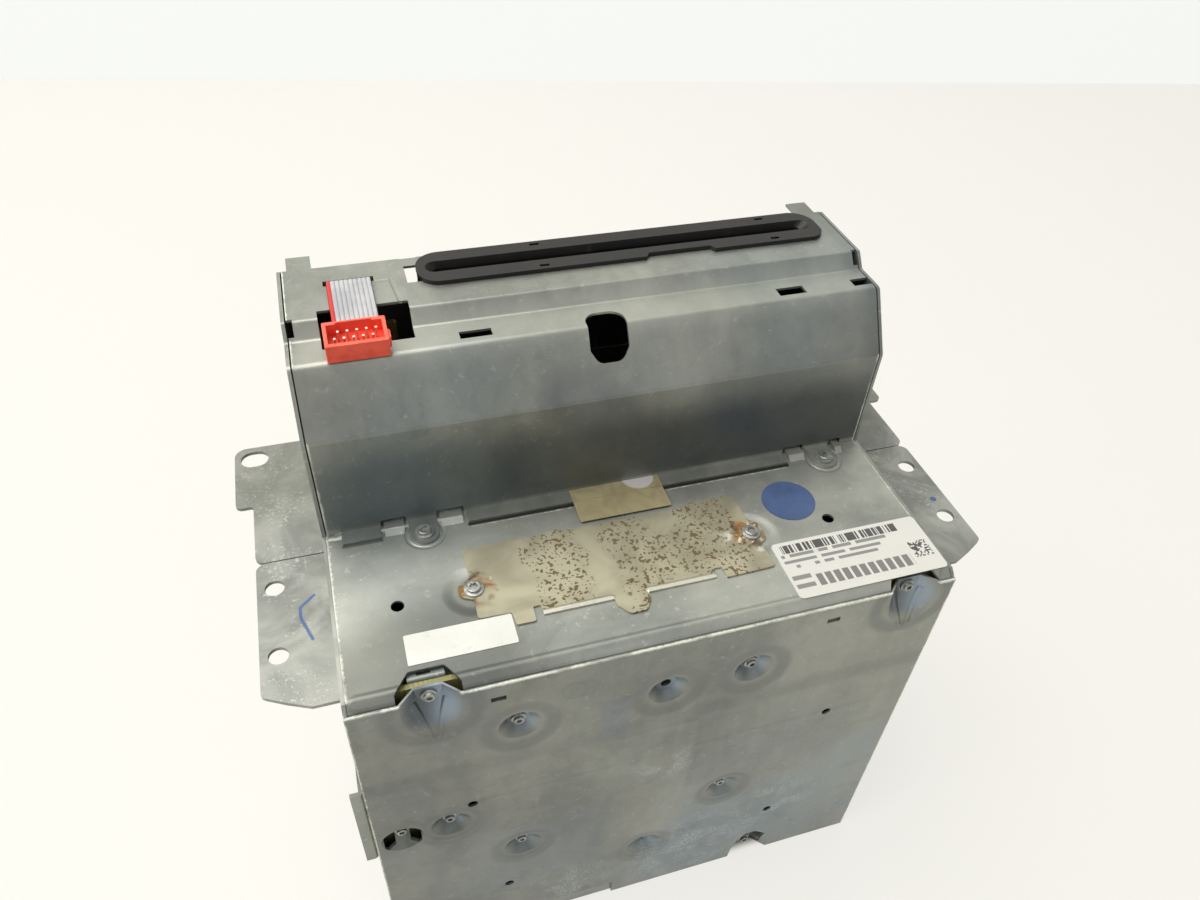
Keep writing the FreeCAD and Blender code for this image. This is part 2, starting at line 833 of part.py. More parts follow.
def ring_slot(x, y, radius, width, start, sweep):
    """Curved grille slot: two arcs and two straight ends."""
    inner = radius - width / 2
    outer = radius + width / 2

    def at(reach, angle):
        turn = math.radians(angle)
        return Vector(x + reach * math.cos(turn), y + reach * math.sin(turn), 0)

    middle = start + sweep / 2
    end = start + sweep
    return [
        Part.Arc(at(inner, start), at(inner, middle), at(inner, end)),
        Part.LineSegment(at(inner, end), at(outer, end)),
        Part.Arc(at(outer, end), at(outer, middle), at(outer, start)),
        Part.LineSegment(at(outer, start), at(inner, start)),
    ]


def ears():
    """Mounting ears: on each side a front and a rear plate, each with a leg against the side wall."""
    wall_x = d.body_width / 2 + d.sheet_gap
    level = f"{RIM} - ear_drop - ear_thick"
    reach = d.bolt_x + d.bolt_margin
    wide = d.slot_hole_x + d.slot_margin
    span = reach - wall_x
    for side, word in ((-1, "left"), (1, "right")):
        front = [
            (side * wall_x, across(d.ear_front)),
            (side * (wall_x + 0.375 * span), across(d.ear_front)),
            (side * (wall_x + 0.705 * span), across(12.0)),
            (side * reach, across(15.2), 2),
            (side * reach, across(d.ear_split - 0.2), 3),
            (side * wall_x, across(d.ear_split - 0.2)),
        ]
        holes = []
        for index in range(2):
            y = across(d.bolt_front + d.bolt_pitch * index)
            holes.append(circle(side * d.bolt_x, y, d.bolt_radius))
        name = f"ear_{word}_front"
        plate = padded(name + "_plate", "XY_Plane", level, "ear_thick", [closed(front)] + holes)
        leg = ear_leg(name, side, 20.5, 51.0)
        keep(name, joined(name, [plate, leg]))
        rear = [
            (side * wall_x, across(d.ear_split + 0.2)),
            (side * reach, across(d.ear_split + 0.2), 3),
            (side * reach, across(d.ear_step), 1),
            (side * wide, across(d.ear_step), 2),
            (side * wide, across(d.ear_back), 4),
            (side * wall_x, across(d.ear_back)),
        ]
        middle = across(d.slot_hole_y)
        long_hole = slot_outline(side * d.slot_hole_x, middle, d.slot_hole_length, d.slot_hole_width)
        name = f"ear_{word}_rear"
        plate = padded(name + "_plate", "XY_Plane", level, "ear_thick", [closed(rear), long_hole])
        leg = ear_leg(name, side, 70.0, 108.0)
        keep(name, joined(name, [plate, leg]))


def ear_leg(name, side, start, end):
    """The upright leg of an ear, bent down against the side wall."""
    thick = d.ear_thick
    inner = d.body_width / 2 + d.sheet_gap
    outline = closed([
        (side * inner, above(-d.ear_drop)),
        (side * (inner + thick + 2.0), above(-d.ear_drop)),
        (side * (inner + thick + 2.0), above(-d.ear_drop - thick)),
        (side * (inner + thick), above(-d.ear_drop - thick), 0.9),
        (side * (inner + thick), above(-d.ear_drop - d.ear_leg), 0.5),
        (side * inner, above(-d.ear_drop - d.ear_leg)),
    ])
    level = f"(body_depth + tab_reach) / 2 - {end}"
    return padded(name + "_leg", "XZ_Plane", level, f"{end - start}", [outline])


def side_lug():
    """Guide flange bent out from the left side, near the front cover."""
    inner = d.body_width / 2 + d.sheet_gap
    line = [
        (-inner - d.lug_width, across(0.6)),
        (-inner, across(0.6), d.bend),
        (-inner, across(16.0)),
    ]
    body = padded("side_lug", "XY_Plane", f"{RIM} - lug_top - lug_length", "lug_length", [strip(line, 1.2)])
    keep("side_lug", body)


def bezel():
    """Slot surround: a rounded lip on the nose, a sleeve through it, and the slot with its sloped mouth."""
    throat_half = d.throat_length / 2
    sleeve_half = throat_half + d.sleeve_wall
    length = sleeve_half + d.bezel_rim
    width = d.bezel_width / 2
    x = d.slot_x
    y = across(d.disc_y)
    notch = y - width + 2.0
    lip = closed([
        (x - length, y - width, 6.5),
        (x + 4.0, y - width),
        (x + 5.2, notch),
        (x + 25.8, notch),
        (x + 27.0, y - width),
        (x + length, y - width, 5.0),
        (x + length, y + width, 7.5),
        (x - length, y + width, 7.5),
    ])
    body = doc.addObject("PartDesign::Body", "bezel_body")
    add_pad(body, "XY_Plane", f"{RIM} + nose_rise + sheet_gap", "bezel_lip", [lip])
    deep = d.sleeve_width / 2
    sleeve = rectangle(x - sleeve_half, y - deep, x + sleeve_half, y + deep, 1.5)
    add_pad(body, "XY_Plane", f"{RIM} + nose_rise - bezel_depth", "bezel_depth + sheet_gap", [sleeve])
    deep = d.throat_width / 2
    throat = rectangle(x - throat_half, y - deep, x + throat_half, y + deep, 2.0)
    depth = "bezel_depth + bezel_lip + 2"
    add_pocket(body, "XY_Plane", f"{RIM} + nose_rise + bezel_lip + 1", depth, [throat], back=False)
    clips = []
    for offset, side in ((-28.4, -1), (48.6, -1), (-28.6, 1), (48.4, 1)):
        spot_y = y + side * 6.4
        clips.append(rectangle(x + offset - 1.5, spot_y - 0.55, x + offset + 1.5, spot_y + 0.55))
    add_pocket(body, "XY_Plane", f"{RIM} + nose_rise + bezel_lip + 1", "bezel_lip + 1", clips, back=False)
    face = above(d.nose_rise + d.bezel_lip)
    wide_end = slot_outline(x, y, d.throat_length + d.mouth_flare, d.mouth_width)
    narrow_end = slot_outline(x, y, d.throat_length, d.throat_width)
    mouth = Part.makeLoft([flat_wire(wide_end, face + 0.1), flat_wire(narrow_end, face - 2.4)], True, True)
    keep("slot_bezel", without("slot_bezel", body, fixed_shape("mouth_cut", mouth)))


def flat_wire(outline, z):
    wire = Part.Wire([edge.toShape() for edge in outline])
    wire.translate(Vector(0, 0, z))
    return wire


def clamp_plate():
    """Sprung plate on the ledge, with a lobe at each screw, two pressed-down front fingers and a tongue."""
    left = -d.clamp_left
    right = d.clamp_right
    back = across(d.clamp_back)
    screw_y = across(d.clamp_screw_y)
    outline = closed([
        (left, across(20.6), 1),
        (left + 0.2, across(27.4), 1),
        (left - 3.6, across(29.2), 2.4),
        (left - 3.6, across(33.4), 2.4),
        (left + 0.4, across(35.4), 1),
        (left, back, 0.6),
        (-27.0, back, 1),
        (-25.0, across(47.4), 1),
        (-21.0, across(47.4), 1),
        (-19.0, back, 1),
        (20.0, back),
        (22.0, across(48.2), 1),
        (right - 1.0, across(48.0), 1),
        (right, across(36.4), 1),
        (right + 2.6, across(34.4), 1.6),
        (right + 2.6, across(28.2), 1.6),
        (right, across(26.2), 1),
        (right + 0.6, across(17.0), 1),
        (22.0, across(16.6), 0.5),
        (21.8, across(20.6), 0.5),
        (19.2, across(20.8), 0.5),
        (19.0, across(17.4)),
        (-2.2, across(17.4)),
        (-2.4, across(15.0), 1),
        (-4.6, across(11.4), 2),
        (-9.6, across(11.4), 2),
        (-12.4, across(15.0), 1),
        (-12.6, across(17.4)),
        (-33.2, across(17.4)),
        (-33.4, across(20.8), 0.5),
        (-35.6, across(20.8), 0.5),
        (-35.8, across(15.8), 0.5),
        (-41.4, across(15.8), 0.5),
        (-41.8, across(20.4), 0.5),
    ])
    holes = [
        circle(-d.clamp_screw_left, screw_y, d.pin_hole),
        circle(d.clamp_screw_right, screw_y, d.pin_hole),
    ]
    level = f"{RIM} + ledge_rise + sheet_gap"
    body = padded("clamp_body", "XY_Plane", level, "clamp_thick", [outline] + holes)
    keep("clamp_plate", body)


def screw_master(name, head, dome, shank):
    """Screw with a plain head from Z = 0 upwards and a plain shank."""
    profile = [(0, -shank), (1.5, -shank), (1.5, 0), (head, 0), (head, dome), (0, dome)]
    return turned(name, profile)


def screws():
    """Fasteners that show: tab screws, clamp screws and the cover's screws in its dishes."""
    master = screw_master("flange_screw", 2.9, 1.7, 6.0)
    lift = d.ledge_rise + 2 * d.sheet_gap
    tabs = [
        spot(-d.screw_tab_left, d.screw_tab_y, lift + d.skin),
        spot(d.screw_tab_right, d.screw_tab_y, lift + d.skin),
    ]
    keep("tab_screws", copies("tab_screws", master, tabs))
    clamps = [
        spot(-d.clamp_screw_left, d.clamp_screw_y, lift + d.clamp_thick),
        spot(d.clamp_screw_right, d.clamp_screw_y, lift + d.clamp_thick),
    ]
    keep("clamp_screws", copies("clamp_screws", master, clamps))
    small = screw_master("dish_screw", 2.2, 1.5, 5.0)
    places = []
    for x, rise in WIDE_DISHES + SMALL_DISHES + [LANCED_DISH]:
        if (x, rise) not in PLAIN_DISHES:
            places.append(spot(x, d.dish_depth - d.sheet_gap, rise, "-Y"))
    for x in RIM_SCOOPS:
        places.append(spot(x, d.scoop_depth - d.sheet_gap, -3.4, "-Y"))
    places.append(spot(LANCED_SCOOP, d.scoop_depth - d.sheet_gap, 3.4 - d.body_height, "-Y"))
    keep("cover_screws", copies("cover_screws", small, places))


def labels():
    """Paper labels, round sticker and clear tag, all lying on the ledge."""
    level = f"{RIM} + ledge_rise + sheet_gap"
    half = d.label_width / 2
    high = d.label_height / 2
    x = d.label_x
    y = across(d.label_y)
    main = closed([(x - half, y - high, 1.5), (x + half, y - high, 1.5), (x + half, y + high, 1.5),
                   (x - half, y + high, 1.5)])
    keep("main_label", padded("main_label", "XY_Plane", level, "label_thick", [main]))
    half = d.blank_width / 2
    high = d.blank_height / 2
    x = -d.blank_x
    y = across(d.blank_y)
    blank = rectangle(x - half, y - high, x + half, y + high, 0.4)
    keep("blank_label", padded("blank_label", "XY_Plane", level, "label_thick", [blank]))
    dot = circle(d.sticker_x, across(d.sticker_y), d.sticker_radius)
    keep("round_sticker", padded("round_sticker", "XY_Plane", level, "label_thick", [dot]))
    top = f"{RIM} + ledge_rise + skin + 2 * sheet_gap"
    half = d.tag_width / 2
    step = d.tab_y - d.sheet_gap - d.label_thick
    tag = rectangle(d.tag_x - half, across(step), d.tag_x + half, across(d.nose_front - 0.1))
    upper = padded("tag_upper", "XY_Plane", top, "label_thick", [tag])
    lower = rectangle(d.tag_x - half, across(d.tag_front), d.tag_x + half, across(step), 0.3)
    low_level = f"{RIM} + ledge_rise + clamp_thick + 2 * sheet_gap"
    flat = padded("tag_lower", "XY_Plane", low_level, "label_thick", [lower])
    fold = rectangle(d.tag_x - half, across(step), d.tag_x + half, across(step + d.label_thick))
    height = "skin - clamp_thick + label_thick"
    edge = padded("tag_edge", "XY_Plane", low_level, height, [fold])
    keep("amber_tag", joined("amber_tag", [upper, flat, edge]))


def inner_bracket():
    """Shield tab with a slot, seen through the cut-out by the left rim screw."""
    x = RIM_SCOOPS[0]
    back = d.board_front + d.board_thick + d.sheet_gap
    line = [
        (across(back), above(-12.0)),
        (across(back), above(d.ledge_rise - 1.5), 0.8),
        (across(back + 3.0), above(d.ledge_rise - 1.5)),
    ]
    body = doc.addObject("PartDesign::Body", "inner_bracket")
    add_pad(body, "YZ_Plane", f"{x - 5.0}", "10", [strip(line[::-1], 0.6)])
    hole = rectangle(x - 2.4, across(back + 1.3), x + 1.4, across(back + 2.4), 0.3)
    add_pocket(body, "XY_Plane", RIM + " + ledge_rise", "3.2", [hole], back=False)
    screw = circle(x, above(-3.4), d.pin_hole + 0.2)
    add_pocket(body, "XZ_Plane", "(body_depth + tab_reach) / 2", "board_front + 8", [screw], back=False)
    keep("inner_bracket", body)


def main_board():
    """Main circuit board just behind the front cover; its upper edge shows by the left rim screw."""
    half = d.body_width / 2 - d.wall - 1.2
    outline = rectangle(-half, d.rear_recess + d.wall + 3.0, half, above(-0.4), 1.0)
    holes = []
    for x, rise in WIDE_DISHES + SMALL_DISHES + [LANCED_DISH]:
        if (x, rise) not in PLAIN_DISHES:
            holes.append(circle(x, above(rise), 1.8))
    for x in RIM_SCOOPS:
        holes.append(circle(x, above(-3.4), 1.8))
    level = f"(body_depth + tab_reach) / 2 - board_front - board_thick"
    keep("main_board", padded("main_board", "XZ_Plane", level, "board_thick", [outline] + holes))


def rear_connectors():
    """Multi-way power block and four coaxial sockets on the board's rear edge, with the fan beside them."""
    low = d.board_front + d.board_thick + d.sheet_gap
    face = 0.6
    half = d.power_width / 2
    x = -d.power_x
    y0 = across(low)
    y1 = across(low + d.power_depth)
    block = doc.addObject("PartDesign::Body", "power_connector")
    add_pad(block, "XY_Plane", f"{face}", "power_height", [rectangle(x - half, y0, x + half, y1, 0.8)])
    wells = []
    for index in range(2):
        left = x - half + 1.6 + index * (half - 0.4)
        wells.append(rectangle(left, y0 + 1.6, left + half - 2.8, y1 - 1.6, 0.5))
    add_pocket(block, "XY_Plane", f"{face}", "12", wells, back=True)
    keep("power_connector", block)
    shells = []
    for index in range(4):
        centre = d.coax_x + d.coax_pitch * index
        name = f"coax_{index}"
        body = doc.addObject("PartDesign::Body", name)
        shape = rectangle(centre - 5.0, across(low), centre + 5.0, across(low + 10.6), 0.8)
        add_pad(body, "XY_Plane", f"{face}", "16", [shape])
        well = circle(centre, across(low + 5.3), d.coax_radius)
        add_pocket(body, "XY_Plane", f"{face}", "9", [well], back=True)
        shells.append(body)
    doc.recompute()
    keep("coax_sockets", fixed_shape("coax_sockets", Part.makeCompound([item.Shape for item in shells])))


def fan():
    """Axial fan inside the rear panel: a square frame with four struts, and a rotor of twisted blades."""
    half = d.fan_size / 2
    x = d.fan_x
    y = across(d.fan_y)
    base = "rear_recess + wall + sheet_gap"
    screw = half - 4
    holes = [circle(x, y, d.fan_bore)]
    for sx in (-1, 1):
        for sy in (-1, 1):
            holes.append(circle(x + sx * screw, y + sy * screw, d.pin_hole + 0.2))
    outline = rectangle(x - half, y - half, x + half, y + half, 3.0)
    ring = padded("fan_ring", "XY_Plane", base, "fan_thick", [outline] + holes)
    hub = rod("fan_seat", "fan_hub", "1.2", f"{x}", f"{y}", base + " + fan_thick - 1.2", "Z")
    stub = rod("fan_stub", "shaft_radius", "fan_thick - 2.9", f"{x}", f"{y}", base + " + 1.7", "Z")
    reach = "2 * fan_bore + 1"
    low = f"{y} - 1.2"
    bar = box("fan_bar", reach, "2.4", "1.2", f"{x} - fan_bore - 0.5", low, base + " + fan_thick - 1.2")
    left = f"{x} - 1.2"
    beam = box("fan_beam", "2.4", reach, "1.2", left, f"{y} - fan_bore - 0.5", base + " + fan_thick - 1.2")
    keep("fan_frame", joined("fan_frame", [ring, hub, bar, beam, stub]))
    thick = d.fan_thick - 2.6
    bottom = d.rear_recess + d.wall + d.sheet_gap + 0.6
    hub = Part.makeCylinder(d.fan_hub, thick, Vector(0, 0, 0))
    bore = Part.makeCylinder(d.shaft_radius + d.running_gap, thick, Vector(0, 0, 0.8))
    hub = hub.cut(bore)
    rotor = [hub]
    for index in range(FAN_BLADES):
        root = blade_section(d.fan_hub - 1.0, 52, thick)
        tip = blade_section(d.fan_bore - d.fan_gap, 30, thick)
        blade = Part.makeLoft([root, tip], True, True)
        blade.rotate(Vector(), Z_AXIS, 360.0 / FAN_BLADES * index)
        rotor.append(blade)
    envelope = Part.makeCylinder(d.fan_bore - d.fan_gap, thick)
    wheel = rotor[0].fuse(rotor[1:]).cut(bore).common(envelope)
    wheel.translate(Vector(x, y, bottom))
    keep("fan_rotor", fixed_shape("fan_rotor", wheel))


def blade_section(reach, pitch, height):
    """Thin section of a fan blade across the radius, pitched about it, as a closed wire."""
    chord = (height - 0.8) / math.sin(math.radians(pitch))
    chord = min(chord, 11.0)
    wire = Part.makePolygon([
        Vector(reach, -chord / 2, -0.4),
        Vector(reach, chord / 2, -0.4),
        Vector(reach, chord / 2, 0.4),
        Vector(reach, -chord / 2, 0.4),
        Vector(reach, -chord / 2, -0.4),
    ])
    wire.rotate(Vector(), X_AXIS, pitch)
    wire.translate(Vector(0, 0, height / 2))
    return wire


def ribbon():
    """Ribbon lead from the inner board up through the nose and forward to its plug, with its pins."""
    half = d.ribbon_width / 2
    x = -d.ribbon_x
    centre = d.ribbon_y
    t = d.ribbon_thick
    run = d.nose_rise + d.sheet_gap + 0.2
    tilt = math.radians(d.plug_tilt)
    inward = (math.cos(tilt), math.sin(tilt))
    entry = d.plug_depth + 0.02
    level = 1.6 + t / 2
    end_y = across(d.plug_front) + entry * inward[0] - level * inward[1]
    end_z = above(d.shoulder_rise + 0.1) + entry * inward[1] + level * inward[0]
    line = [
        (across(centre + t / 2), above(6.0 + d.sheet_gap)),
        (across(centre + t / 2), above(run + t), d.ribbon_bend + t),
        (end_y + 5.6, above(run + t), 4.0),
        (end_y + 1.6 * inward[0], end_z + 1.6 * inward[1], 2.0),
        (end_y, end_z),
    ]
    lead = padded("ribbon_cable", "YZ_Plane", f"{x - half}", "ribbon_width", [strip(line, t)])
    keep("ribbon_cable", lead)
    corner = Vector(-d.plug_x, across(d.plug_front), above(d.shoulder_rise + 0.1))
    stand = FreeCAD.Placement(corner, FreeCAD.Rotation(X_AXIS, d.plug_tilt))
    wide = d.plug_width / 2
    shell = doc.addObject("PartDesign::Body", "ribbon_plug")
    add_pad(shell, "XY_Plane", "0", "plug_height", [rectangle(-wide, 0, wide, d.plug_depth, 0.4)])
    well = closed([
        (-wide + 1.0, 1.1, 0.3),
        (wide - 1.0, 1.1, 0.3),
        (wide - 1.0, d.plug_depth - 1.1, 0.3),
        (wide - 3.6, d.plug_depth - 1.1),
        (wide - 3.6, d.plug_depth - 0.5),
        (-wide + 3.6, d.plug_depth - 0.5),
        (-wide + 3.6, d.plug_depth - 1.1),
        (-wide + 1.0, d.plug_depth - 1.1, 0.3),
    ])
    add_pocket(shell, "XY_Plane", "plug_height + 0.5", "4.7", [well], back=False)
    add_pad(shell, "XY_Plane", "1.5", "plug_height - 2.5", [closed([
        (wide - 0.3, 1.2), (wide + 0.7, 1.8), (wide + 0.7, 4.6), (wide - 0.3, 5.4),
    ])])
    shell.Placement = stand
    keep("ribbon_plug", shell)
    doc.recompute()
    pins = []
    for row in range(2):
        for column in range(5):
            px = (column - 2) * d.pin_pitch + (-0.55 if row == 0 else 0.55)
            py = d.plug_depth / 2 + (row - 0.5) * d.pin_pitch
            pin = Part.makeBox(0.64, 0.64, 3.6, Vector(px - 0.32, py - 0.32, 2.05))
            pin.Placement = stand.multiply(pin.Placement)
            pins.append(pin)
    keep("plug_pins", fixed_shape("plug_pins", Part.makeCompound(pins)))


def interface_board():
    """Narrow board beside the drive that carries the ribbon's header, on four posts from the drive frame."""
    level = "(body_depth + tab_reach) / 2 - 103.6"
    outline = rectangle(-86.0, above(-40.0), -58.0, above(48.0), 0.8)
    keep("interface_board", padded("interface_board", "XZ_Plane", level, "board_thick", [outline]))
    gap = 0.02
    y = across(103.6 + gap)
    header = doc.addObject("PartDesign::Body", "ribbon_header")
    depth = d.ribbon_y + 2.6 - 103.6 - gap
    half = d.ribbon_width / 2 + 2.0
    outline = rectangle(-d.ribbon_x - half, y, -d.ribbon_x + half, y + depth, 0.3)
    add_pad(header, "XY_Plane", f"{RIM} - 2", "8", [outline])
    keep("ribbon_header", header)
    posts = []
    length = 102.0 - d.frame_y - d.wall - 2 * gap
    for px in (-82.0, -62.0):
        for rise in (-34.0, 26.0):
            corner = Vector(px, across(d.frame_y + d.wall + gap), above(rise))
            posts.append(Part.makeCylinder(2.5, length, corner, Y_AXIS))
    keep("board_posts", fixed_shape("board_posts", Part.makeCompound(posts)))


def drive_frame():
    """Fixed frame of the drive, from side wall to side wall, with a window for the traverse."""
    half = d.body_width / 2 - d.wall - d.sheet_gap
    outline = rectangle(-half, above(-d.deck_bottom - 2), half, above(34.0), 2.0)
    window = rectangle(-16.0, above(-86.0), 56.0, above(-4.0), 4.0)
    level = "(body_depth + tab_reach) / 2 - frame_y - wall"
    frame = padded("drive_frame_plate", "XZ_Plane", level, "wall", [outline, window])
    sides = []
    for sx in (-1, 1):
        edge = sx * half
        flange = rectangle(min(edge, edge - sx * 1.0), across(d.frame_y - 8.0), max(edge, edge - sx * 1.0),
                           across(d.frame_y + 0.2))
        sides.append(padded(f"drive_frame_side_{1 + sx}", "XY_Plane", f"{RIM} - 90", "110", [flange]))
    keep("drive_frame", joined("drive_frame", [frame] + sides))
    posts = []
    length = d.deck_y - d.frame_y - d.wall - 2 * 0.02
    for x in (-43.0, 75.0):
        for rise in (-90.0, 14.0):
            spot_y = across(d.frame_y + d.wall + 0.02)
            posts.append(damper(Vector(x, spot_y, above(rise)), length))
    keep("dampers", fixed_shape("dampers", Part.makeCompound(posts)))


def damper(corner, length):
    """Waisted rubber damper along Y."""
    end = length / 3
    base = Part.makeCylinder(4.5, end, corner, Y_AXIS)
    waist = Part.makeCylinder(3.2, length, corner, Y_AXIS)
    top = Part.makeCylinder(4.5, end, corner + Vector(0, length - end, 0), Y_AXIS)
    return base.fuse([waist, top])


def deck():
    """Drive deck: bent plate with windows for the turntable and the lens, and a tongue for the motor."""
    left = -d.deck_left
    right = d.deck_right - 0.02
    low = above(-d.deck_bottom)
    top = above(d.deck_top)
    outline = closed([
        (left, low),
        (right, low),
        (right, top),
        (78.5, top),
        (78.5, above(41.0), 1),
        (53.5, above(41.0), 1),
        (53.5, top),
        (left, top),
    ])
    centre = above(-d.disc_drop)
    lens = d.slot_x
    holes = [
        circle(lens, centre, 7.0),
        rectangle(lens - 8.5, above(-90.6), lens + 8.5, above(-38.4), 2.0),
    ]
    level = "(body_depth + tab_reach) / 2 - deck_y - deck_thick"
    body = doc.addObject("PartDesign::Body", "deck_plate")
    add_pad(body, "XZ_Plane", level, "deck_thick", [outline] + holes)
    flange = rectangle(left, across(90.0), left + 1.0, across(d.deck_y + 0.5))
    add_pad(body, "XY_Plane", f"{RIM} - deck_bottom", "deck_bottom + deck_top", [flange])
    ears_y = across(d.clamp_pivot_y)
    for x in (lens - 17.4, lens + 16.2):
        ear = closed([
            (across(d.deck_y + 0.5), above(-d.clamp_pivot_drop - 4.5)),
            (ears_y + 3.2, above(-d.clamp_pivot_drop - 3.2), 2.5),
            (ears_y + 3.2, above(-d.clamp_pivot_drop + 3.2), 2.5),
            (across(d.deck_y + 0.5), above(-d.clamp_pivot_drop + 4.5)),
        ])
        hole = circle(ears_y, above(-d.clamp_pivot_drop), 1.0 + d.running_gap)
        add_pad(body, "YZ_Plane", f"{x}", "1.2", [ear, hole])
    pivot = circle(across(d.arm_pivot_y), above(d.arm_pivot_rise), d.shaft_radius + d.running_gap)
    add_pocket(body, "YZ_Plane", f"{left - 1}", "3", [pivot], back=True)
    keep("deck_plate", body)


def gear_centres():
    """Centres of the loading train as depth and rise, worked out from the tooth counts."""
    module = d.gear_module
    roller = (d.roller_y, d.roller_rise)
    idler = (d.roller_y + module * (ROLLER_TEETH + IDLER_TEETH) / 2, d.roller_rise)
    reach = module * (IDLER_TEETH + SMALL_TEETH) / 2
    wheel = (idler[0] - 5.0, idler[1] - math.sqrt(reach ** 2 - 25.0))
    reach = module * (WHEEL_TEETH + PINION_TEETH) / 2
    pinion_y = 94.1
    drop = math.sqrt(reach ** 2 - (wheel[0] - pinion_y) ** 2)
    pinion = (pinion_y, wheel[1] - drop)
    return roller, idler, wheel, pinion


def gear_outline(teeth, phase):
    """Spur gear outline with involute flanks; one tooth is centred on the phase angle."""
    module = d.gear_module
    pitch = module * teeth / 2
    base = pitch * math.cos(math.radians(20))
    root = pitch - 1.2 * module
    tip = pitch + 0.9 * module

    def involute(radius):
        angle = math.acos(min(1.0, base / radius))
        return math.tan(angle) - angle

    half = math.pi / (2 * teeth) - d.gear_slack / pitch
    flank = []
    for radius in (max(root, base), pitch, tip):
        flank.append((radius, half + involute(pitch) - involute(radius)))
    foot = (root, flank[0][1] + 0.02)
    points = []
    for index in range(teeth):
        middle = phase + 2 * math.pi * index / teeth
        for radius, turn in [foot] + flank:
            points.append((radius * math.cos(middle - turn), radius * math.sin(middle - turn)))
        for radius, turn in flank[::-1] + [foot]:
            points.append((radius * math.cos(middle + turn), radius * math.sin(middle + turn)))
    tidy = [points[0]]
    for point in points[1:]:
        if math.dist(point, tidy[-1]) > 0.01:
            tidy.append(point)
    return closed(tidy)


def shifted(outline, y, z):
    for edge in outline:
        edge.translate(Vector(y, z, 0))
    return outline


def bearing(here, there):
    """Direction from one centre to another in the plane of the gears."""
    return math.atan2(there[1] - here[1], there[0] - here[0])


def gear_pad(name, teeth, phase, centre, start, thick, bore):
    y = across(centre[0])
    z = above(centre[1])
    outline = shifted(gear_outline(teeth, phase), y, z)
    return padded(name, "YZ_Plane", f"{start}", f"{thick}", [outline, circle(y, z, bore)])


def loading_train():
    """Gears from the loading motor to the roller, on pins of the gear plate."""
    roller, idler, wheel, pinion = gear_centres()
    bore = d.shaft_radius + d.running_gap
    first = d.deck_right + d.wall + 0.4
    second = first + d.gear_layer
    third = second + d.gear_layer
    to_idler = bearing(roller, idler)
    roller_phase = to_idler
    idler_phase = to_idler + math.pi + math.pi / IDLER_TEETH
    gear = gear_pad("roller_gear", ROLLER_TEETH, roller_phase, roller, first, d.gear_thick, 1.2)
    keep("roller_gear", gear)
    broad = d.gear_thick + d.gear_layer
    gear = gear_pad("idler_gear", IDLER_TEETH, idler_phase, idler, first, broad, bore - 0.5)
    keep("idler_gear", gear)
    to_wheel = bearing(idler, wheel)
    step = 2 * math.pi / IDLER_TEETH
    offset = (to_wheel - idler_phase) / step
    offset -= round(offset)
    small_phase = to_wheel + math.pi + (offset + 0.5) * 2 * math.pi / SMALL_TEETH
    small = gear_pad("small_wheel", SMALL_TEETH, small_phase, wheel, second, d.gear_layer + 0.1, bore - 0.5)
    to_pinion = bearing(wheel, pinion)
    large = gear_pad("large_wheel", WHEEL_TEETH, to_pinion, wheel, third, d.gear_thick, bore - 0.5)
    keep("reduction_gear", joined("reduction_gear", [small, large]))
    pinion_phase = to_pinion + math.pi + math.pi / PINION_TEETH
    teeth = gear_pad("pinion_teeth", PINION_TEETH, pinion_phase, pinion, third, d.gear_thick, 0.3)
    y = f"{across(pinion[0])}"
    z = f"{above(pinion[1])}"
    shaft = rod("pinion_shaft", "0.75", f"{third + d.gear_thick} - 76.0", "76.0", y, z, "X")
    keep("motor_pinion", joined("motor_pinion", [teeth, shaft]))
    motor = rod("motor_can", "6.4", "21.0", "55.0", y, z, "X")
    bore = rod("motor_bore", "0.75 + running_gap", "4", "74.0", y, z, "X")
    keep("loading_motor", without("loading_motor", motor, bore))
    y_low = across(88.0)
    plate = closed([
        (y_low, above(8.0)),
        (across(102.6), above(8.0)),
        (across(102.6), above(30.0)),
        (across(115.0), above(30.0), 2),
        (across(115.0), above(54.0), 2),
        (across(104.6), above(54.0), 1),
        (across(104.6), above(43.0), 1),
        (across(98.4), above(41.8), 1),
        (y_low, above(41.8), 2),
    ])
    holes = [
        circle(across(d.arm_pivot_y), above(d.arm_pivot_rise), d.shaft_radius + d.running_gap),
        circle(across(pinion[0]), above(pinion[1]), 1.3),
    ]
    body = doc.addObject("PartDesign::Body", "gear_plate")
    add_pad(body, "YZ_Plane", "deck_right", "wall", [plate] + holes)
    for centre, end in ((idler, second + d.gear_thick), (wheel, third + d.gear_thick)):
        pin = circle(across(centre[0]), above(centre[1]), d.shaft_radius - 0.5)
        add_pad(body, "YZ_Plane", "deck_right + wall - 0.2", f"{end} - deck_right - wall + 0.2", [pin])
    keep("gear_plate", body)


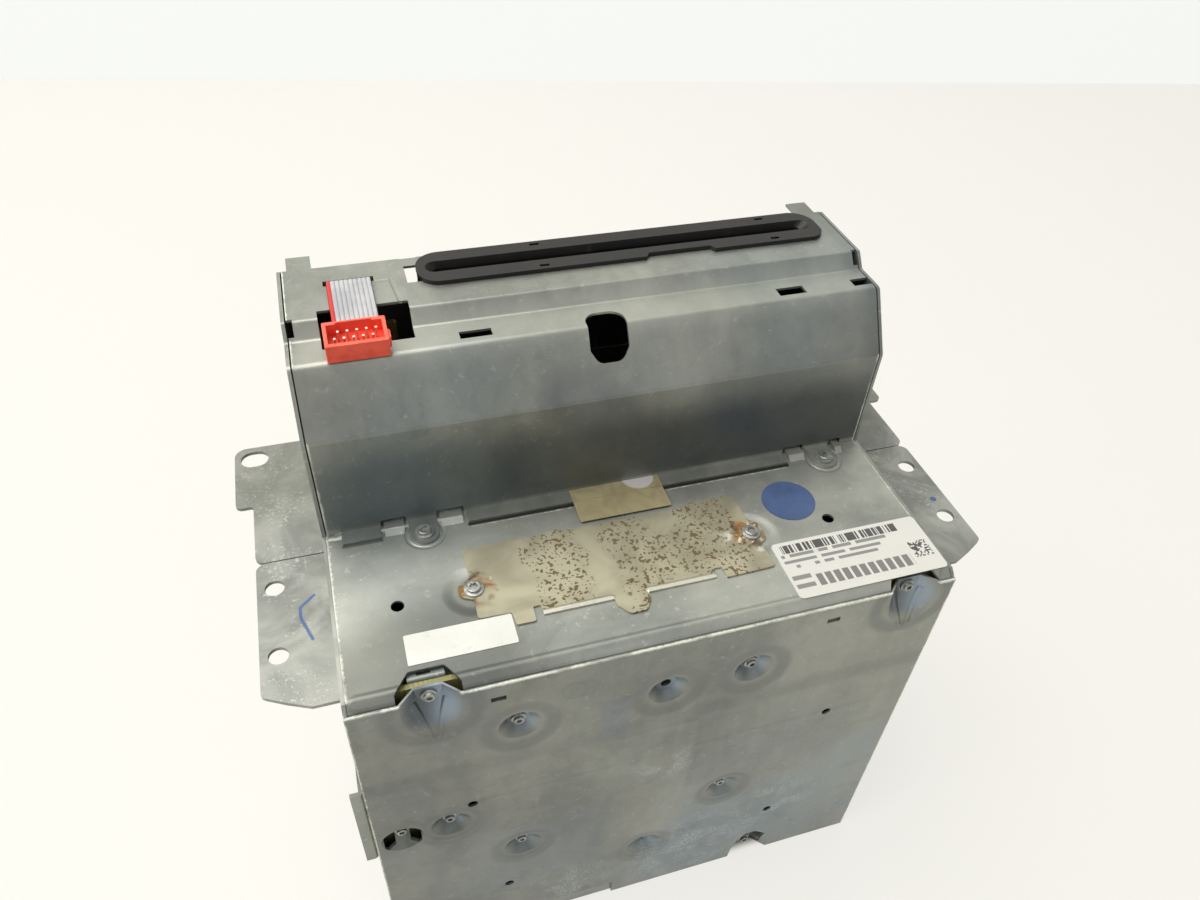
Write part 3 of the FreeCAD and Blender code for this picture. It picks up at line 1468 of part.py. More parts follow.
def roller():
    """Loading roller: two rubber cones that meet at a waist, on a steel shaft carried by a swinging arm."""
    half = d.roller_length / 2
    bore = 1.5
    wide = d.roller_radius
    profile = [(bore, -half), (wide, -half), (d.roller_waist, 0), (wide, half), (bore, half)]
    rubber = turned("loading_roller", profile)
    x = "slot_x"
    y = FRONT + " + roller_y"
    z = RIM + " + roller_rise"
    place(rubber, x, y, z, "X")
    keep("loading_roller", rubber)
    left = d.slot_x - half - 5.6
    gear_end = d.deck_right + d.wall + 0.4 + d.gear_thick
    shaft = rod("roller_shaft_long", "1.5 - 0.005", f"{gear_end - 1.3} - ({left})", f"{left}", y, z, "X")
    stub = rod("roller_shaft_end", "1.2 - 0.005", f"{gear_end} - 60", "60", y, z, "X")
    keep("roller_shaft", joined("roller_shaft", [shaft, stub]))
    pivot = (across(d.arm_pivot_y), above(d.arm_pivot_rise))
    axle = (across(d.roller_y), above(d.roller_rise))
    lean = math.atan2(axle[0] - pivot[0], axle[1] - pivot[1])
    side = 2.6
    aside = (side * math.cos(lean), -side * math.sin(lean))
    ahead = (side * math.sin(lean), side * math.cos(lean))
    outline = closed([
        (pivot[0] - aside[0] - ahead[0], pivot[1] - aside[1] - ahead[1], side - 0.05),
        (pivot[0] + aside[0] - ahead[0], pivot[1] + aside[1] - ahead[1], side - 0.05),
        (axle[0] + aside[0] + ahead[0], axle[1] + aside[1] + ahead[1], side - 0.05),
        (axle[0] - aside[0] + ahead[0], axle[1] - aside[1] + ahead[1], side - 0.05),
    ])
    hole = circle(axle[0], axle[1], d.shaft_radius + d.running_gap)
    left_x = d.slot_x - half - 3.0
    right_x = d.slot_x + half + 3.0 - d.arm_thick
    cheek_left = padded("arm_left", "YZ_Plane", f"{left_x}", "arm_thick", [outline, hole])
    outline = [edge.copy() for edge in outline]
    axle_hole = circle(axle[0], axle[1], d.shaft_radius + d.running_gap)
    cheek_right = padded("arm_right", "YZ_Plane", f"{right_x}", "arm_thick", [outline, axle_hole])
    span = f"{right_x - left_x} + arm_thick"
    bar = box("arm_bar", span, "1.2", "6.0", f"{left_x}", FRONT + " + 94.6", RIM + " + 19.0")
    pin_left = f"{left_x} + deck_left - 0.0"
    y = FRONT + " + arm_pivot_y"
    z = RIM + " + arm_pivot_rise"
    pin_a = rod("arm_pin_left", "shaft_radius", pin_left, "-deck_left", y, z, "X")
    pin_b = rod("arm_pin_right", "shaft_radius", f"deck_right + wall - ({right_x})", f"{right_x}", y, z, "X")
    follower_y = across(99.4)
    follower_z = above(38.2)
    finger = rod("arm_finger", "1.0", f"{left_x} + 0.5 + deck_left + 3.4", "-deck_left - 3.4",
                 f"{follower_y}", f"{follower_z}", "X")
    keep("roller_arm", joined("roller_arm", [cheek_left, cheek_right, bar, pin_a, pin_b, finger]))


def disc_guide():
    """Plastic guide behind the slot that turns the disc onto the roller."""
    face = across(d.guide_face)
    outline = closed([
        (face, above(43.0), 1.5),
        (face, above(50.5)),
        (face + 2.4, above(54.0)),
        (face + 3.6, above(54.0)),
        (face + 3.6, above(43.0)),
    ])
    left = -d.deck_left + 1.2
    body = padded("disc_guide", "YZ_Plane", f"{left}", f"deck_right - 0.02 - ({left})", [outline])
    foot = across(d.deck_y + d.deck_thick + 0.02)
    leg = closed([
        (foot, above(14.0)),
        (foot + 3.4, above(14.0), 1.5),
        (face + 3.6, above(30.0), 2),
        (face + 3.6, above(54.0)),
        (face, above(54.0)),
        (face, above(32.0), 2),
        (foot, above(25.0)),
    ])
    add_pad(body, "YZ_Plane", "-deck_left", "1.4", [leg])
    keep("disc_guide", body)


def clamp_turn():
    """Placement that swings closed clamp parts open about the clamp's pivot."""
    pivot = Vector(0, across(d.clamp_pivot_y), above(-d.clamp_pivot_drop))
    return FreeCAD.Placement(Vector(), FreeCAD.Rotation(X_AXIS, -d.clamp_open), pivot)


def clamp():
    """Clamp arm behind the disc, drawn closed and swung open, with its free-turning clamper."""
    x = d.slot_x
    low = above(-d.clamp_pivot_drop)
    plate_y = 108.1
    outline = closed([
        (x - 14.0, low - 2.6, 2),
        (x + 14.0, low - 2.6, 2),
        (x + 14.0, low + 20, 3),
        (x + 9.0, above(-d.disc_drop) + 10, 8),
        (x - 9.0, above(-d.disc_drop) + 10, 8),
        (x - 14.0, low + 36, 3),
        (-49.5, low + 36, 2),
        (-49.5, low + 28, 2),
        (x - 14.0, low + 26, 2),
    ])
    hole = circle(x, above(-d.disc_drop), 3.2)
    level = f"(body_depth + tab_reach) / 2 - {plate_y} - 1.0"
    plate = padded("clamp_arm_plate", "XZ_Plane", level, "1.0", [outline, hole])
    cheeks = []
    for index, start in enumerate((x - 16.0 + 2.0, x + 14.0 - 1.2)):
        cheek = closed([
            (across(d.clamp_pivot_y) - 2.0, low - 2.4, 1.9),
            (across(plate_y + 0.5), low - 2.6),
            (across(plate_y + 0.5), low + 8),
            (across(d.clamp_pivot_y) - 2.0, low + 2.4, 1.9),
        ])
        cheeks.append(padded(f"clamp_cheek_{index}", "YZ_Plane", f"{start}", "1.2", [cheek]))
    y = FRONT + " + clamp_pivot_y"
    z = RIM + " - clamp_pivot_drop"
    pin = rod("clamp_pin", "1.0", "2 * 17.2", "slot_x - 17.2", y, z, "X")
    finger = rod("clamp_finger", "1.0", "6.0", "-54.6", FRONT + f" + {plate_y} + 0.5", f"{low + 32}", "X")
    arm = joined("clamp_arm", [plate, pin, finger] + cheeks)
    doc.recompute()
    swung = arm.Shape.copy()
    swung.Placement = clamp_turn()
    keep("clamp_arm", fixed_shape("clamp_arm_open", swung))
    top = d.turntable_top + d.disc_thick + 0.05
    profile = [
        (0, top),
        (d.clamper_radius, top),
        (d.clamper_radius, top + 1.4),
        (4.0, top + 2.0),
        (3.2 - d.running_gap, top + 2.0),
        (3.2 - d.running_gap, plate_y + 1.3),
        (5.0, plate_y + 1.3),
        (5.0, plate_y + 2.0),
        (0, plate_y + 2.0),
    ]
    hub = turned("clamper_turned", profile)
    doc.recompute()
    puck = hub.Shape.copy()
    puck.Placement = spot(x, 0, -d.disc_drop, "Y")
    puck.Placement = clamp_turn().multiply(puck.Placement)
    keep("clamper", fixed_shape("clamper", puck))


def turntable():
    """Turntable with its centring cone on the spindle, and the motor under the deck."""
    base = d.deck_y - 8.0
    top = d.turntable_top
    profile = [
        (0, base + 1.0),
        (1.0, base + 1.0),
        (1.0, d.deck_y + d.deck_thick),
        (d.turntable_radius, d.deck_y + d.deck_thick + 0.8),
        (d.turntable_radius, top),
        (7.3, top),
        (6.0, top + 0.9),
        (0, top + 0.9),
    ]
    wheel = turned("turntable", profile)
    place(wheel, "slot_x", FRONT, RIM + " - disc_drop", "Y")
    keep("turntable", wheel)
    drop = RIM + " - disc_drop"
    can = rod("spindle_can", "11", "deck_y - 0.02 - 92.6", "slot_x", FRONT + " + 92.6", drop, "Y")
    bore = rod("spindle_bore", "1.0 + running_gap", "20", "slot_x", FRONT + " + 93.4", drop, "Y")
    keep("spindle_motor", without("spindle_motor", can, bore))


def sled():
    """Optical sled on two guide rods, its lens in the deck's window, with its lead screw and motor."""
    x = d.slot_x
    middle = above(-d.disc_drop - d.sled_home)
    half = d.sled_half
    left = -d.rod_left - 3.6
    right = d.screw_x - d.rod_radius - 0.3
    base = across(91.4)
    top = across(d.deck_y - 0.8)
    bore = d.rod_radius + d.running_gap
    rod_y = across(d.rod_y)
    outline = [rectangle(left, base, right, top, 0.8)]
    holes = [circle(-d.rod_left, rod_y, bore), circle(d.rod_right, rod_y, bore)]
    level = f"{RIM} - disc_drop - sled_home - sled_half"
    block = padded("sled_block", "XY_Plane", level, "2 * sled_half", outline + holes)
    base = across(99.0)
    seat = rod("lens_seat", "6.0", f"{across(102.2)} - ({base})", f"{x}", f"{base}", f"{middle}", "Y")
    keep("sled", joined("sled", [block, seat]))
    lens = doc.addObject("Part::Sphere", "lens_ball")
    bind(lens, "Radius", "4.6")
    place(lens, f"{x}", f"{across(102.22) - 3.6}", f"{middle}")
    trim = box("lens_trim", "20", "20", "20", f"{x - 10}", f"{across(102.22) - 20.0}", f"{middle - 10}")
    keep("lens", without("lens", lens, trim))
    low = above(-d.deck_bottom + 1.0)
    high = above(-d.disc_drop - 10.0)
    length = high - low
    rods = []
    for rx in (-d.rod_left, d.rod_right):
        rods.append(Part.makeCylinder(d.rod_radius, length, Vector(rx, rod_y, low), Z_AXIS))
    keep("guide_rods", fixed_shape("guide_rods", Part.makeCompound(rods)))
    blocks = []
    for rx in (-d.rod_left, d.rod_right):
        for z0 in (low, high - 2.0):
            block = Part.makeBox(7.0, d.deck_y - 0.02 - 92.8, 2.0, Vector(rx - 3.5, across(92.8), z0))
            start = Vector(rx, rod_y, z0 - 3)
            blocks.append(block.cut(Part.makeCylinder(d.rod_radius + 0.02, 9, start, Z_AXIS)))
    foot = Part.makeBox(9.0, d.deck_y - 0.02 - 92.8, 2.0, Vector(d.screw_x - 4.5, across(92.8), low))
    blocks.append(foot.cut(Part.makeCylinder(bore, 9, Vector(d.screw_x, rod_y, low - 3), Z_AXIS)))
    keep("rod_holders", fixed_shape("rod_holders", Part.makeCompound(blocks)))
    screw = rod("lead_screw", "rod_radius", f"{high + 2.0 - low}", "screw_x", f"{rod_y}", f"{low}", "Z")
    keep("lead_screw", screw)
    can = rod("sled_can", "4.9", "15.0", "screw_x", f"{rod_y}", f"{high + 1.0}", "Z")
    wide = "rod_radius + running_gap"
    bore = rod("sled_can_bore", wide, "1.6", "screw_x", f"{rod_y}", f"{high + 0.5}", "Z")
    strap = box("sled_strap", "9.0", "3.0", "2.0", "screw_x - 4.5", f"{across(97.58)}", f"{high + 8.0}")
    motor = joined("sled_motor_solid", [can, strap])
    keep("sled_motor", without("sled_motor", motor, bore))


def cam_slide():
    """Sliding cam plate beside the deck; its slanted slots move the roller arm and the clamp arm."""
    x = -d.deck_left - 1.6
    travel = d.slide_travel
    roller_pin = (99.4, 38.2)
    swing = math.radians(ROLLER_SWING)
    dy = roller_pin[0] - d.arm_pivot_y
    dz = roller_pin[1] - d.arm_pivot_rise
    moved = (
        d.arm_pivot_y + dy * math.cos(swing) - dz * math.sin(swing),
        d.arm_pivot_rise + dy * math.sin(swing) + dz * math.cos(swing) + travel,
    )
    open_turn = math.radians(-d.clamp_open)
    dy = 108.6 - d.clamp_pivot_y
    dz = 32.0
    clamp_pin = (
        d.clamp_pivot_y + dy * math.cos(open_turn) - dz * math.sin(open_turn),
        -d.clamp_pivot_drop + dy * math.sin(open_turn) + dz * math.cos(open_turn),
    )
    clamp_moved = (108.6, -d.clamp_pivot_drop + 32.0 + travel)
    outline = closed([
        (across(93.0), above(-70.0), 2),
        (across(114.6), above(-70.0), 2),
        (across(114.6), above(-40.0), 2),
        (across(104.6), above(-32.0), 2),
        (across(104.6), above(50.0), 2),
        (across(93.0), above(50.0), 2),
    ])
    slots = [cam_slot(roller_pin, moved, 1.4), cam_slot(clamp_pin, clamp_moved, 1.4)]
    for rise in (-20.0, 5.0):
        low = above(rise - 1.5)
        slots.append(rectangle(across(98.0) - 1.6, low - 0.2, across(98.0) + 1.6, low + travel + 3.2, 1.55))
    plate = padded("cam_slide", "YZ_Plane", f"{x}", "1.2", [outline] + slots)
    keep("cam_slide", plate)
    rivets = []
    for rise in (-20.0, 5.0):
        shank = Part.makeCylinder(1.3, 1.96, Vector(-d.deck_left - 1.98, across(98.0), above(rise)), X_AXIS)
        head = Part.makeCylinder(2.6, 0.8, Vector(-d.deck_left - 2.7, across(98.0), above(rise)), X_AXIS)
        rivets.append(shank.fuse(head))
    keep("slide_rivets", fixed_shape("slide_rivets", Part.makeCompound(rivets)))


def cam_slot(start, end, half):
    """Straight slanted slot round a pin's path, with half as half its width."""
    first = Vector(across(start[0]), above(start[1]), 0)
    last = Vector(across(end[0]), above(end[1]), 0)
    ahead = last - first
    ahead.normalize()
    aside = Vector(-ahead.y, ahead.x, 0)
    corners = [
        first - ahead * half + aside * half,
        first - ahead * half - aside * half,
        last + ahead * half - aside * half,
        last + ahead * half + aside * half,
    ]
    return closed([(corner.x, corner.y, half - 0.02) for corner in corners])


def drive_board():
    """Small control board on the drive frame, with its flex connector."""
    level = "(body_depth + tab_reach) / 2 - frame_y + sheet_gap"
    outline = rectangle(-86.0, above(-80.0), -24.0, above(-20.0), 1.0)
    keep("drive_board", padded("drive_board", "XZ_Plane", level, "board_thick", [outline]))


ROLLER_SWING = 4.0

side_walls()
ledge()
nose()
front_cover()
back_cover()
rear_panel()
ears()
side_lug()
bezel()
clamp_plate()
screws()
labels()
inner_bracket()
main_board()
rear_connectors()
fan()
ribbon()
interface_board()
drive_frame()
deck()
loading_train()
roller()
disc_guide()
clamp()
turntable()
sled()
cam_slide()
drive_board()
doc.recompute()

for item in doc.Objects:
    if "Invalid" in item.State or "Error" in item.State:
        raise RuntimeError(f"{item.Name} failed: {item.State}")
os.makedirs("parts", exist_ok=True)
total = 0
for name, item in nodes.items():
    shape = item.Shape
    if shape.isNull() or not shape.isValid() or not shape.Solids:
        raise RuntimeError(f"{name} has no sound shape")
    facets = len(shape.tessellate(0.1)[1])
    total += facets
    print(f"{name:22s} solids {len(shape.Solids):3d} volume {shape.Volume:10.1f} facets {facets}")
    shape.exportStep(f"parts/{name}.step")
print(len(nodes), "nodes", total, "facets at 0.1 mm")
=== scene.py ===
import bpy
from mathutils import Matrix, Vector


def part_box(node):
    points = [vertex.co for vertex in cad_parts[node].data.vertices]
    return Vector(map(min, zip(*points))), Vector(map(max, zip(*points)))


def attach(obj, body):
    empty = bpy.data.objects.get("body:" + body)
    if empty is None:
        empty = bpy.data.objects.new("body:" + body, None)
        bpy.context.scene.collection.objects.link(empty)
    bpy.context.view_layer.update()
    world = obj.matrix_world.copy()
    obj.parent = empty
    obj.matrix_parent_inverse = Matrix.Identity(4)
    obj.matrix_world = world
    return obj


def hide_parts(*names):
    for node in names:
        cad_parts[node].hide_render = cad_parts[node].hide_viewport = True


bl_info = {
    "name": "Car disc player dressing",
    "version": (1, 0, 0),
    "blender": (4, 5, 0),
    "location": "3D View > Sidebar > Disc player",
    "description": "Finishes, fasteners, ribbon lead and stage for a slot-loading car disc player",
    "category": "Object",
}

import math

import bpy
from bpy.props import FloatProperty, FloatVectorProperty, PointerProperty
from mathutils import Matrix, Vector

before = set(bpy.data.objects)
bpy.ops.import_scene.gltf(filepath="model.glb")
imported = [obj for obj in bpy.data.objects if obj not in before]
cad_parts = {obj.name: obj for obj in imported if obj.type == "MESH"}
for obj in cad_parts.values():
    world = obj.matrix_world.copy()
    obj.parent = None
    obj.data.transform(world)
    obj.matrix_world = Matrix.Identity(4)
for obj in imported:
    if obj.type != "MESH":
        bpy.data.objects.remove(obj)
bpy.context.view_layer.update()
MM = 0.001

# Places in the frame, in millimetres
RIM = 157.0  # upper edge of the front cover
TOP = RIM + 61.5  # upper face of the nose
NOSE_FOOT = 161  # marks that start above this height stay off the ledge
FRONT = -61.5  # outer face of the front cover
CLAMP_LEFT, CLAMP_RIGHT, CLAMP_Y = -50.4, 35.8, -30.5  # screws of the clamp plate
RIBBON_X = -70.1
WIRES = 10

# Camera, solved from the edges of the case in the photograph
LENS = 27.43
FILM = 36.0
VIEW = Matrix((
    (0.95537876, 0.16444235, -0.24537754, -0.07344),
    (-0.29193023, 0.65230139, -0.69948526, -0.19725),
    (0.04503511, 0.73990649, 0.67120059, 0.36544),
    (0, 0, 0, 1)))


def mm(*values):
    """Millimetres to metres, as a tuple."""
    return tuple(value * MM for value in values)


def tone(red, green, blue):
    """Linear colour from 0 to 255 screen values."""
    shades = []
    for level in (red, green, blue):
        level = level / 255
        shades.append(level / 12.92 if level <= 0.04045 else ((level + 0.055) / 1.055) ** 2.4)
    return (*shades, 1.0)


# Sizes and colours ---


class PlayerSizes(bpy.types.PropertyGroup):
    """Sizes that the dressing uses."""

    head_height: FloatProperty(
        name="Screw head", description="Height of a screw's round head over its washer face",
        default=0.75 * MM, unit="LENGTH")
    socket_depth: FloatProperty(
        name="Drive depth", description="Depth of the six-lobed drive in a screw head",
        default=0.8 * MM, unit="LENGTH")
    ribbon_width: FloatProperty(
        name="Ribbon width", description="Width of the ten-wire ribbon lead",
        default=12.9 * MM, unit="LENGTH")
    ribbon_length: FloatProperty(
        name="Ribbon length", description="Length of the ribbon lead from header to plug",
        default=80.0 * MM, unit="LENGTH")
    thread_lead: FloatProperty(
        name="Thread lead", description="Advance of the lead screw in one turn",
        default=3.0 * MM, unit="LENGTH")
    key_power: FloatProperty(
        name="Key lamp", description="Power of the soft lamp over the player", default=20.5,
        unit="POWER")
    fill_power: FloatProperty(
        name="Fill lamp", description="Power of the soft lamp from the front", default=1.4,
        unit="POWER")


class PlayerColours(bpy.types.PropertyGroup):
    """Colours that the dressing uses."""

    zinc_light: FloatVectorProperty(
        name="Zinc light", description="Light tone of the galvanised sheet", subtype="COLOR",
        size=3, min=0, max=1, default=tone(174, 175, 166)[:3])
    zinc_dark: FloatVectorProperty(
        name="Zinc dark", description="Dark tone of the galvanised sheet", subtype="COLOR", size=3,
        min=0, max=1, default=tone(121, 124, 119)[:3])
    rust: FloatVectorProperty(
        name="Rust", description="Rust on the clamp plate", subtype="COLOR", size=3,
        min=0, max=1, default=tone(84, 62, 14)[:3])
    plug_red: FloatVectorProperty(
        name="Plug red", description="Housing of the ribbon's plug", subtype="COLOR", size=3,
        min=0, max=1, default=tone(252, 98, 76)[:3])
    table: FloatVectorProperty(
        name="Table", description="Table top and wall", subtype="COLOR", size=3,
        min=0, max=1, default=tone(226, 223, 208)[:3])


# Shader expressions ---


def joins(operation):
    """Method that joins a value to another one by a node of mathematics."""
    return lambda self, other: self.paint.maths(operation, self, other)


class Value:
    """Number socket that takes part in expressions."""

    def __init__(self, paint, socket):
        self.paint = paint
        self.socket = socket

    __add__ = __radd__ = joins("ADD")
    __sub__ = joins("SUBTRACT")
    __mul__ = joins("MULTIPLY")
    __truediv__ = joins("DIVIDE")
    highest = joins("MAXIMUM")
    lowest = joins("MINIMUM")

    def __rsub__(self, other):
        return self.paint.maths("SUBTRACT", other, self)

    def __abs__(self):
        return self.paint.maths("ABSOLUTE", self)


def highest(marks):
    """Greatest of several numbers, or None where there are none."""
    best = None
    for mark in marks:
        best = mark if best is None else best.highest(mark)
    return best


class Paint:
    """Material under construction, with the object's coordinates at hand."""

    def __init__(self, name, metallic=0.0, roughness=0.5, **constants):
        self.material = bpy.data.materials.new(name)
        self.material.use_nodes = True
        self.tree = self.material.node_tree
        self.shader = self.tree.nodes["Principled BSDF"]
        for label, level in {"Metallic": metallic, "Roughness": roughness, **constants}.items():
            self.shader.inputs[label.replace("_", " ")].default_value = level
        self.place = self.add("ShaderNodeTexCoord").outputs["Object"]
        split = self.add("ShaderNodeSeparateXYZ", sockets={"Vector": self.place})
        self.x, self.y, self.z = (Value(self, split.outputs[axis]) for axis in "XYZ")
        self.shade = None

    def add(self, kind, settings=None, sockets=None):
        """One node: its type, its settings, then its sockets' values or links."""
        node = self.tree.nodes.new(kind)
        for label, setting in (settings or {}).items():
            setattr(node, label, setting)
        for label, level in (sockets or {}).items():
            level = level.socket if isinstance(level, Value) else level
            if isinstance(level, bpy.types.NodeSocket):
                self.tree.links.new(level, node.inputs[label])
            else:
                node.inputs[label].default_value = level
        return node

    def maths(self, operation, *terms):
        node = self.add("ShaderNodeMath", {"operation": operation}, dict(enumerate(terms)))
        return Value(self, node.outputs[0])

    def vector(self, operation, output, *terms):
        node = self.add("ShaderNodeVectorMath", {"operation": operation}, dict(enumerate(terms)))
        return node.outputs[output]

    def rise(self, value, low, high):
        """0 below low, 1 above high, smooth between them."""
        node = self.add("ShaderNodeMapRange", {"interpolation_type": "SMOOTHSTEP"},
                        {0: value, 1: low, 2: high})
        return Value(self, node.outputs[0])

    def fall(self, value, low, high):
        """1 below low, 0 above high."""
        return 1 - self.rise(value, low, high)

    def window(self, value, low, high, soft):
        """1 between low and high, with soft ends."""
        return (self.rise(value, low - soft, low + soft)
                * self.fall(value, high - soft, high + soft))

    def off_middle(self, value):
        """Distance from the middle of each whole step."""
        return abs(self.maths("FRACT", value) - 0.5)

    def mix(self, first, second, factor):
        """Blend of two colours: sockets, four linear numbers, or three screen values."""
        first, second = (tone(*part) if isinstance(part, tuple) and len(part) == 3 else part
                         for part in (first, second))
        node = self.add("ShaderNodeMix", {"data_type": "RGBA"}, {0: factor, 6: first, 7: second})
        return node.outputs[2]

    def base(self, first, second, factor):
        """First layer of colour: a blend of two."""
        self.shade = self.mix(first, second, factor)

    def lay(self, cover, share):
        """One more layer, over the colour so far."""
        self.shade = self.mix(self.shade, cover, share)

    def stretched(self, x, y, z):
        node = self.add("ShaderNodeMapping", sockets={"Vector": self.place, "Scale": (x, y, z)})
        return node.outputs["Vector"]

    def noise(self, scale, detail=3.0, rough=0.55, swirl=0.0, vector=None):
        node = self.add("ShaderNodeTexNoise", sockets={
            "Vector": vector or self.place, "Scale": scale, "Detail": detail,
            "Roughness": rough, "Distortion": swirl})
        return Value(self, node.outputs["Fac"])

    def patches(self, low, high, *noise):
        """Noise that is cut to patches: 0 where it is below low, 1 where it is above high."""
        return self.rise(self.noise(*noise), low, high)

    def cells(self, scale):
        """Random level of each crystal."""
        node = self.add("ShaderNodeTexVoronoi", sockets={"Vector": self.place, "Scale": scale})
        split = self.add("ShaderNodeSeparateColor", sockets={0: node.outputs["Color"]})
        return Value(self, split.outputs[0])

    def chance(self, first, second):
        """Random level of each whole step of two numbers."""
        joined = self.add("ShaderNodeCombineXYZ", sockets={
            "X": self.maths("FLOOR", first), "Y": self.maths("FLOOR", second)})
        node = self.add("ShaderNodeTexWhiteNoise", {"noise_dimensions": "2D"},
                        {"Vector": joined.outputs[0]})
        return Value(self, node.outputs["Value"])

    def away(self, x, y, z):
        """Distance from a point that is given in millimetres."""
        return Value(self, self.vector("DISTANCE", "Value", self.place, mm(x, y, z)))

    def line(self, start, end, seen=False):
        """Distance from a straight line in millimetres, or from it as seen from the front."""
        start, end, place = mm(*start), mm(*end), self.place
        if seen:
            start, end = ((spot[0], 0, spot[2]) for spot in (start, end))
            place = self.vector("MULTIPLY", "Vector", place, (1, 0, 1))
        run = Vector(end) - Vector(start)
        here = self.vector("SUBTRACT", "Vector", place, start)
        along = Value(self, self.vector("DOT_PRODUCT", "Value", here, tuple(run)))
        share = (along * (1 / run.length_squared)).highest(0.0).lowest(1.0)
        thrice = self.add("ShaderNodeCombineXYZ", sockets=dict.fromkeys("XYZ", share))
        reached = self.vector("MULTIPLY", "Vector", tuple(run), thrice.outputs[0])
        return Value(self, self.vector("DISTANCE", "Value", here, reached))

    def feed(self, label, value):
        self.tree.links.new(value.socket, self.shader.inputs[label])

    def done(self, relief, depth, rough=None):
        """Links the colour, the relief of so many metres and the roughness."""
        self.tree.links.new(self.shade, self.shader.inputs["Base Color"])
        if rough is not None:
            self.feed("Roughness", rough)
        node = self.add("ShaderNodeBump", sockets={
            "Height": relief, "Distance": depth, "Strength": 1.0})
        self.tree.links.new(node.outputs[0], self.shader.inputs["Normal"])
        return self.material


# Modelling helpers ---


def dress(finish, *nodes):
    """Puts a finish on solids of the frame."""
    for name in nodes:
        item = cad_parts[name]
        if not item.material_slots:
            item.data.materials.append(finish)
        for place in item.material_slots:
            place.material = finish


def begin(name, add, **where):
    """Adds a primitive alone and opens it for editing, with nothing selected."""
    bpy.ops.object.select_all(action="DESELECT")
    add(**where)
    piece = bpy.context.active_object
    piece.name = name
    piece.data.name = name
    bpy.ops.object.mode_set(mode="EDIT")
    bpy.ops.mesh.select_all(action="DESELECT")
    return piece


def choose(piece, kind, test):
    """Selects vertices, edges or faces: the test gets the spot, both ends, or spot and normal."""
    bpy.ops.mesh.select_mode(type=kind)
    bpy.ops.mesh.select_all(action="DESELECT")
    bpy.ops.object.mode_set(mode="OBJECT")
    mesh, turn = piece.data, piece.matrix_world
    spots = [turn @ vertex.co for vertex in mesh.vertices]
    found = 0
    for part in {"VERT": mesh.vertices, "EDGE": mesh.edges, "FACE": mesh.polygons}[kind]:
        if kind == "FACE":
            facts = (turn @ part.center, turn.to_3x3() @ part.normal)
        else:
            facts = [spots[index] for index in getattr(part, "vertices", (part.index,))]
        part.select = test(*facts)
        found += part.select
    bpy.ops.object.mode_set(mode="EDIT")
    if not found:
        raise RuntimeError(f"{piece.name}: nothing was found to shape")


def pull(z):
    """Extrudes what is selected along Z, by metres."""
    bpy.ops.mesh.extrude_region_move(TRANSFORM_OT_translate={"value": (0, 0, z)})


def settle(piece, body, finish, angle=35):
    """Closes the editing, fixes the piece's place in its mesh, and lets it ride on a body."""
    if piece.mode == "EDIT":
        bpy.ops.object.mode_set(mode="OBJECT")
    bpy.ops.object.select_all(action="DESELECT")
    piece.select_set(True)
    bpy.context.view_layer.objects.active = piece
    bpy.ops.object.transform_apply(location=True, rotation=True, scale=True)
    bpy.ops.object.shade_smooth_by_angle(angle=math.radians(angle))
    piece.data.materials.clear()
    piece.data.materials.append(finish)
    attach(piece, body)


def copied(master, name, place, turn=None):
    """A copy of a piece with its own mesh, turned and then moved."""
    piece = master.copy()
    piece.data = master.data.copy()
    piece.name = name
    piece.data.name = name
    bpy.context.scene.collection.objects.link(piece)
    piece.data.transform(Matrix.Translation(place) @ (turn or Matrix.Identity(4)))
    return piece


def islands(node):
    """Boxes of the separate solids in one node of the frame, from left to right."""
    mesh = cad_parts[node].data
    keys = [tuple(round(axis * 200000) for axis in vertex.co) for vertex in mesh.vertices]
    solids = {key: {key} for key in keys}
    for face in mesh.polygons:
        joined = set().union(*(solids[keys[corner]] for corner in face.vertices))
        solids.update(dict.fromkeys(joined, joined))
    groups = {}
    for key, vertex in zip(keys, mesh.vertices):
        groups.setdefault(id(solids[key]), []).append(vertex.co)
    boxes = [tuple(Vector([end(spot[axis] for spot in spots) for axis in range(3)])
                   for end in (min, max)) for spots in groups.values()]
    return sorted(boxes, key=lambda box: (round(box[0].x, 5), box[0].z))


# Reliefs of pressed sheet: each gives a function of the paint, with lift as its height ---


def ridge(start, end, width, lift):
    """Pressed line that stands up, or sinks with a negative lift."""
    return lambda paint: paint.fall(
        paint.line(start, end), width * 0.3 * MM, width * 0.6 * MM) * lift


def crease(start, end, width, lift):
    """Pressed line as seen from the front, whatever the depth of the sheet there."""
    return lambda paint: paint.fall(
        paint.line(start, end, seen=True), width * 0.2 * MM, width * 0.7 * MM) * lift


def ring(centre, radius, width, lift):
    """Pressed ring about a point."""
    return lambda paint: paint.fall(
        abs(paint.away(*centre) - radius * MM), width * 0.25 * MM, width * 0.7 * MM) * lift


def dip(centre, inner, outer, lift):
    """Round pressed dish or boss with a sloping rim."""
    return lambda paint: paint.fall(paint.away(*centre), inner * MM, outer * MM) * lift


def plate(left, right, low, high, soft, lift):
    """Pressed field in the front cover: its sides, or None, and its height from the rim."""

    def shape(paint):
        field = paint.window(paint.z, (RIM + low) * MM, (RIM + high) * MM, soft * MM)
        if left is not None:
            field = paint.window(paint.x, left * MM, right * MM, soft * MM) * field
        return field * lift

    return shape


def uprights(y, height):
    """Pale cut edges along both sides of a sheet."""
    return [((x, y, 0), (x, y, height), 0.7) for x in (-90, 90)]
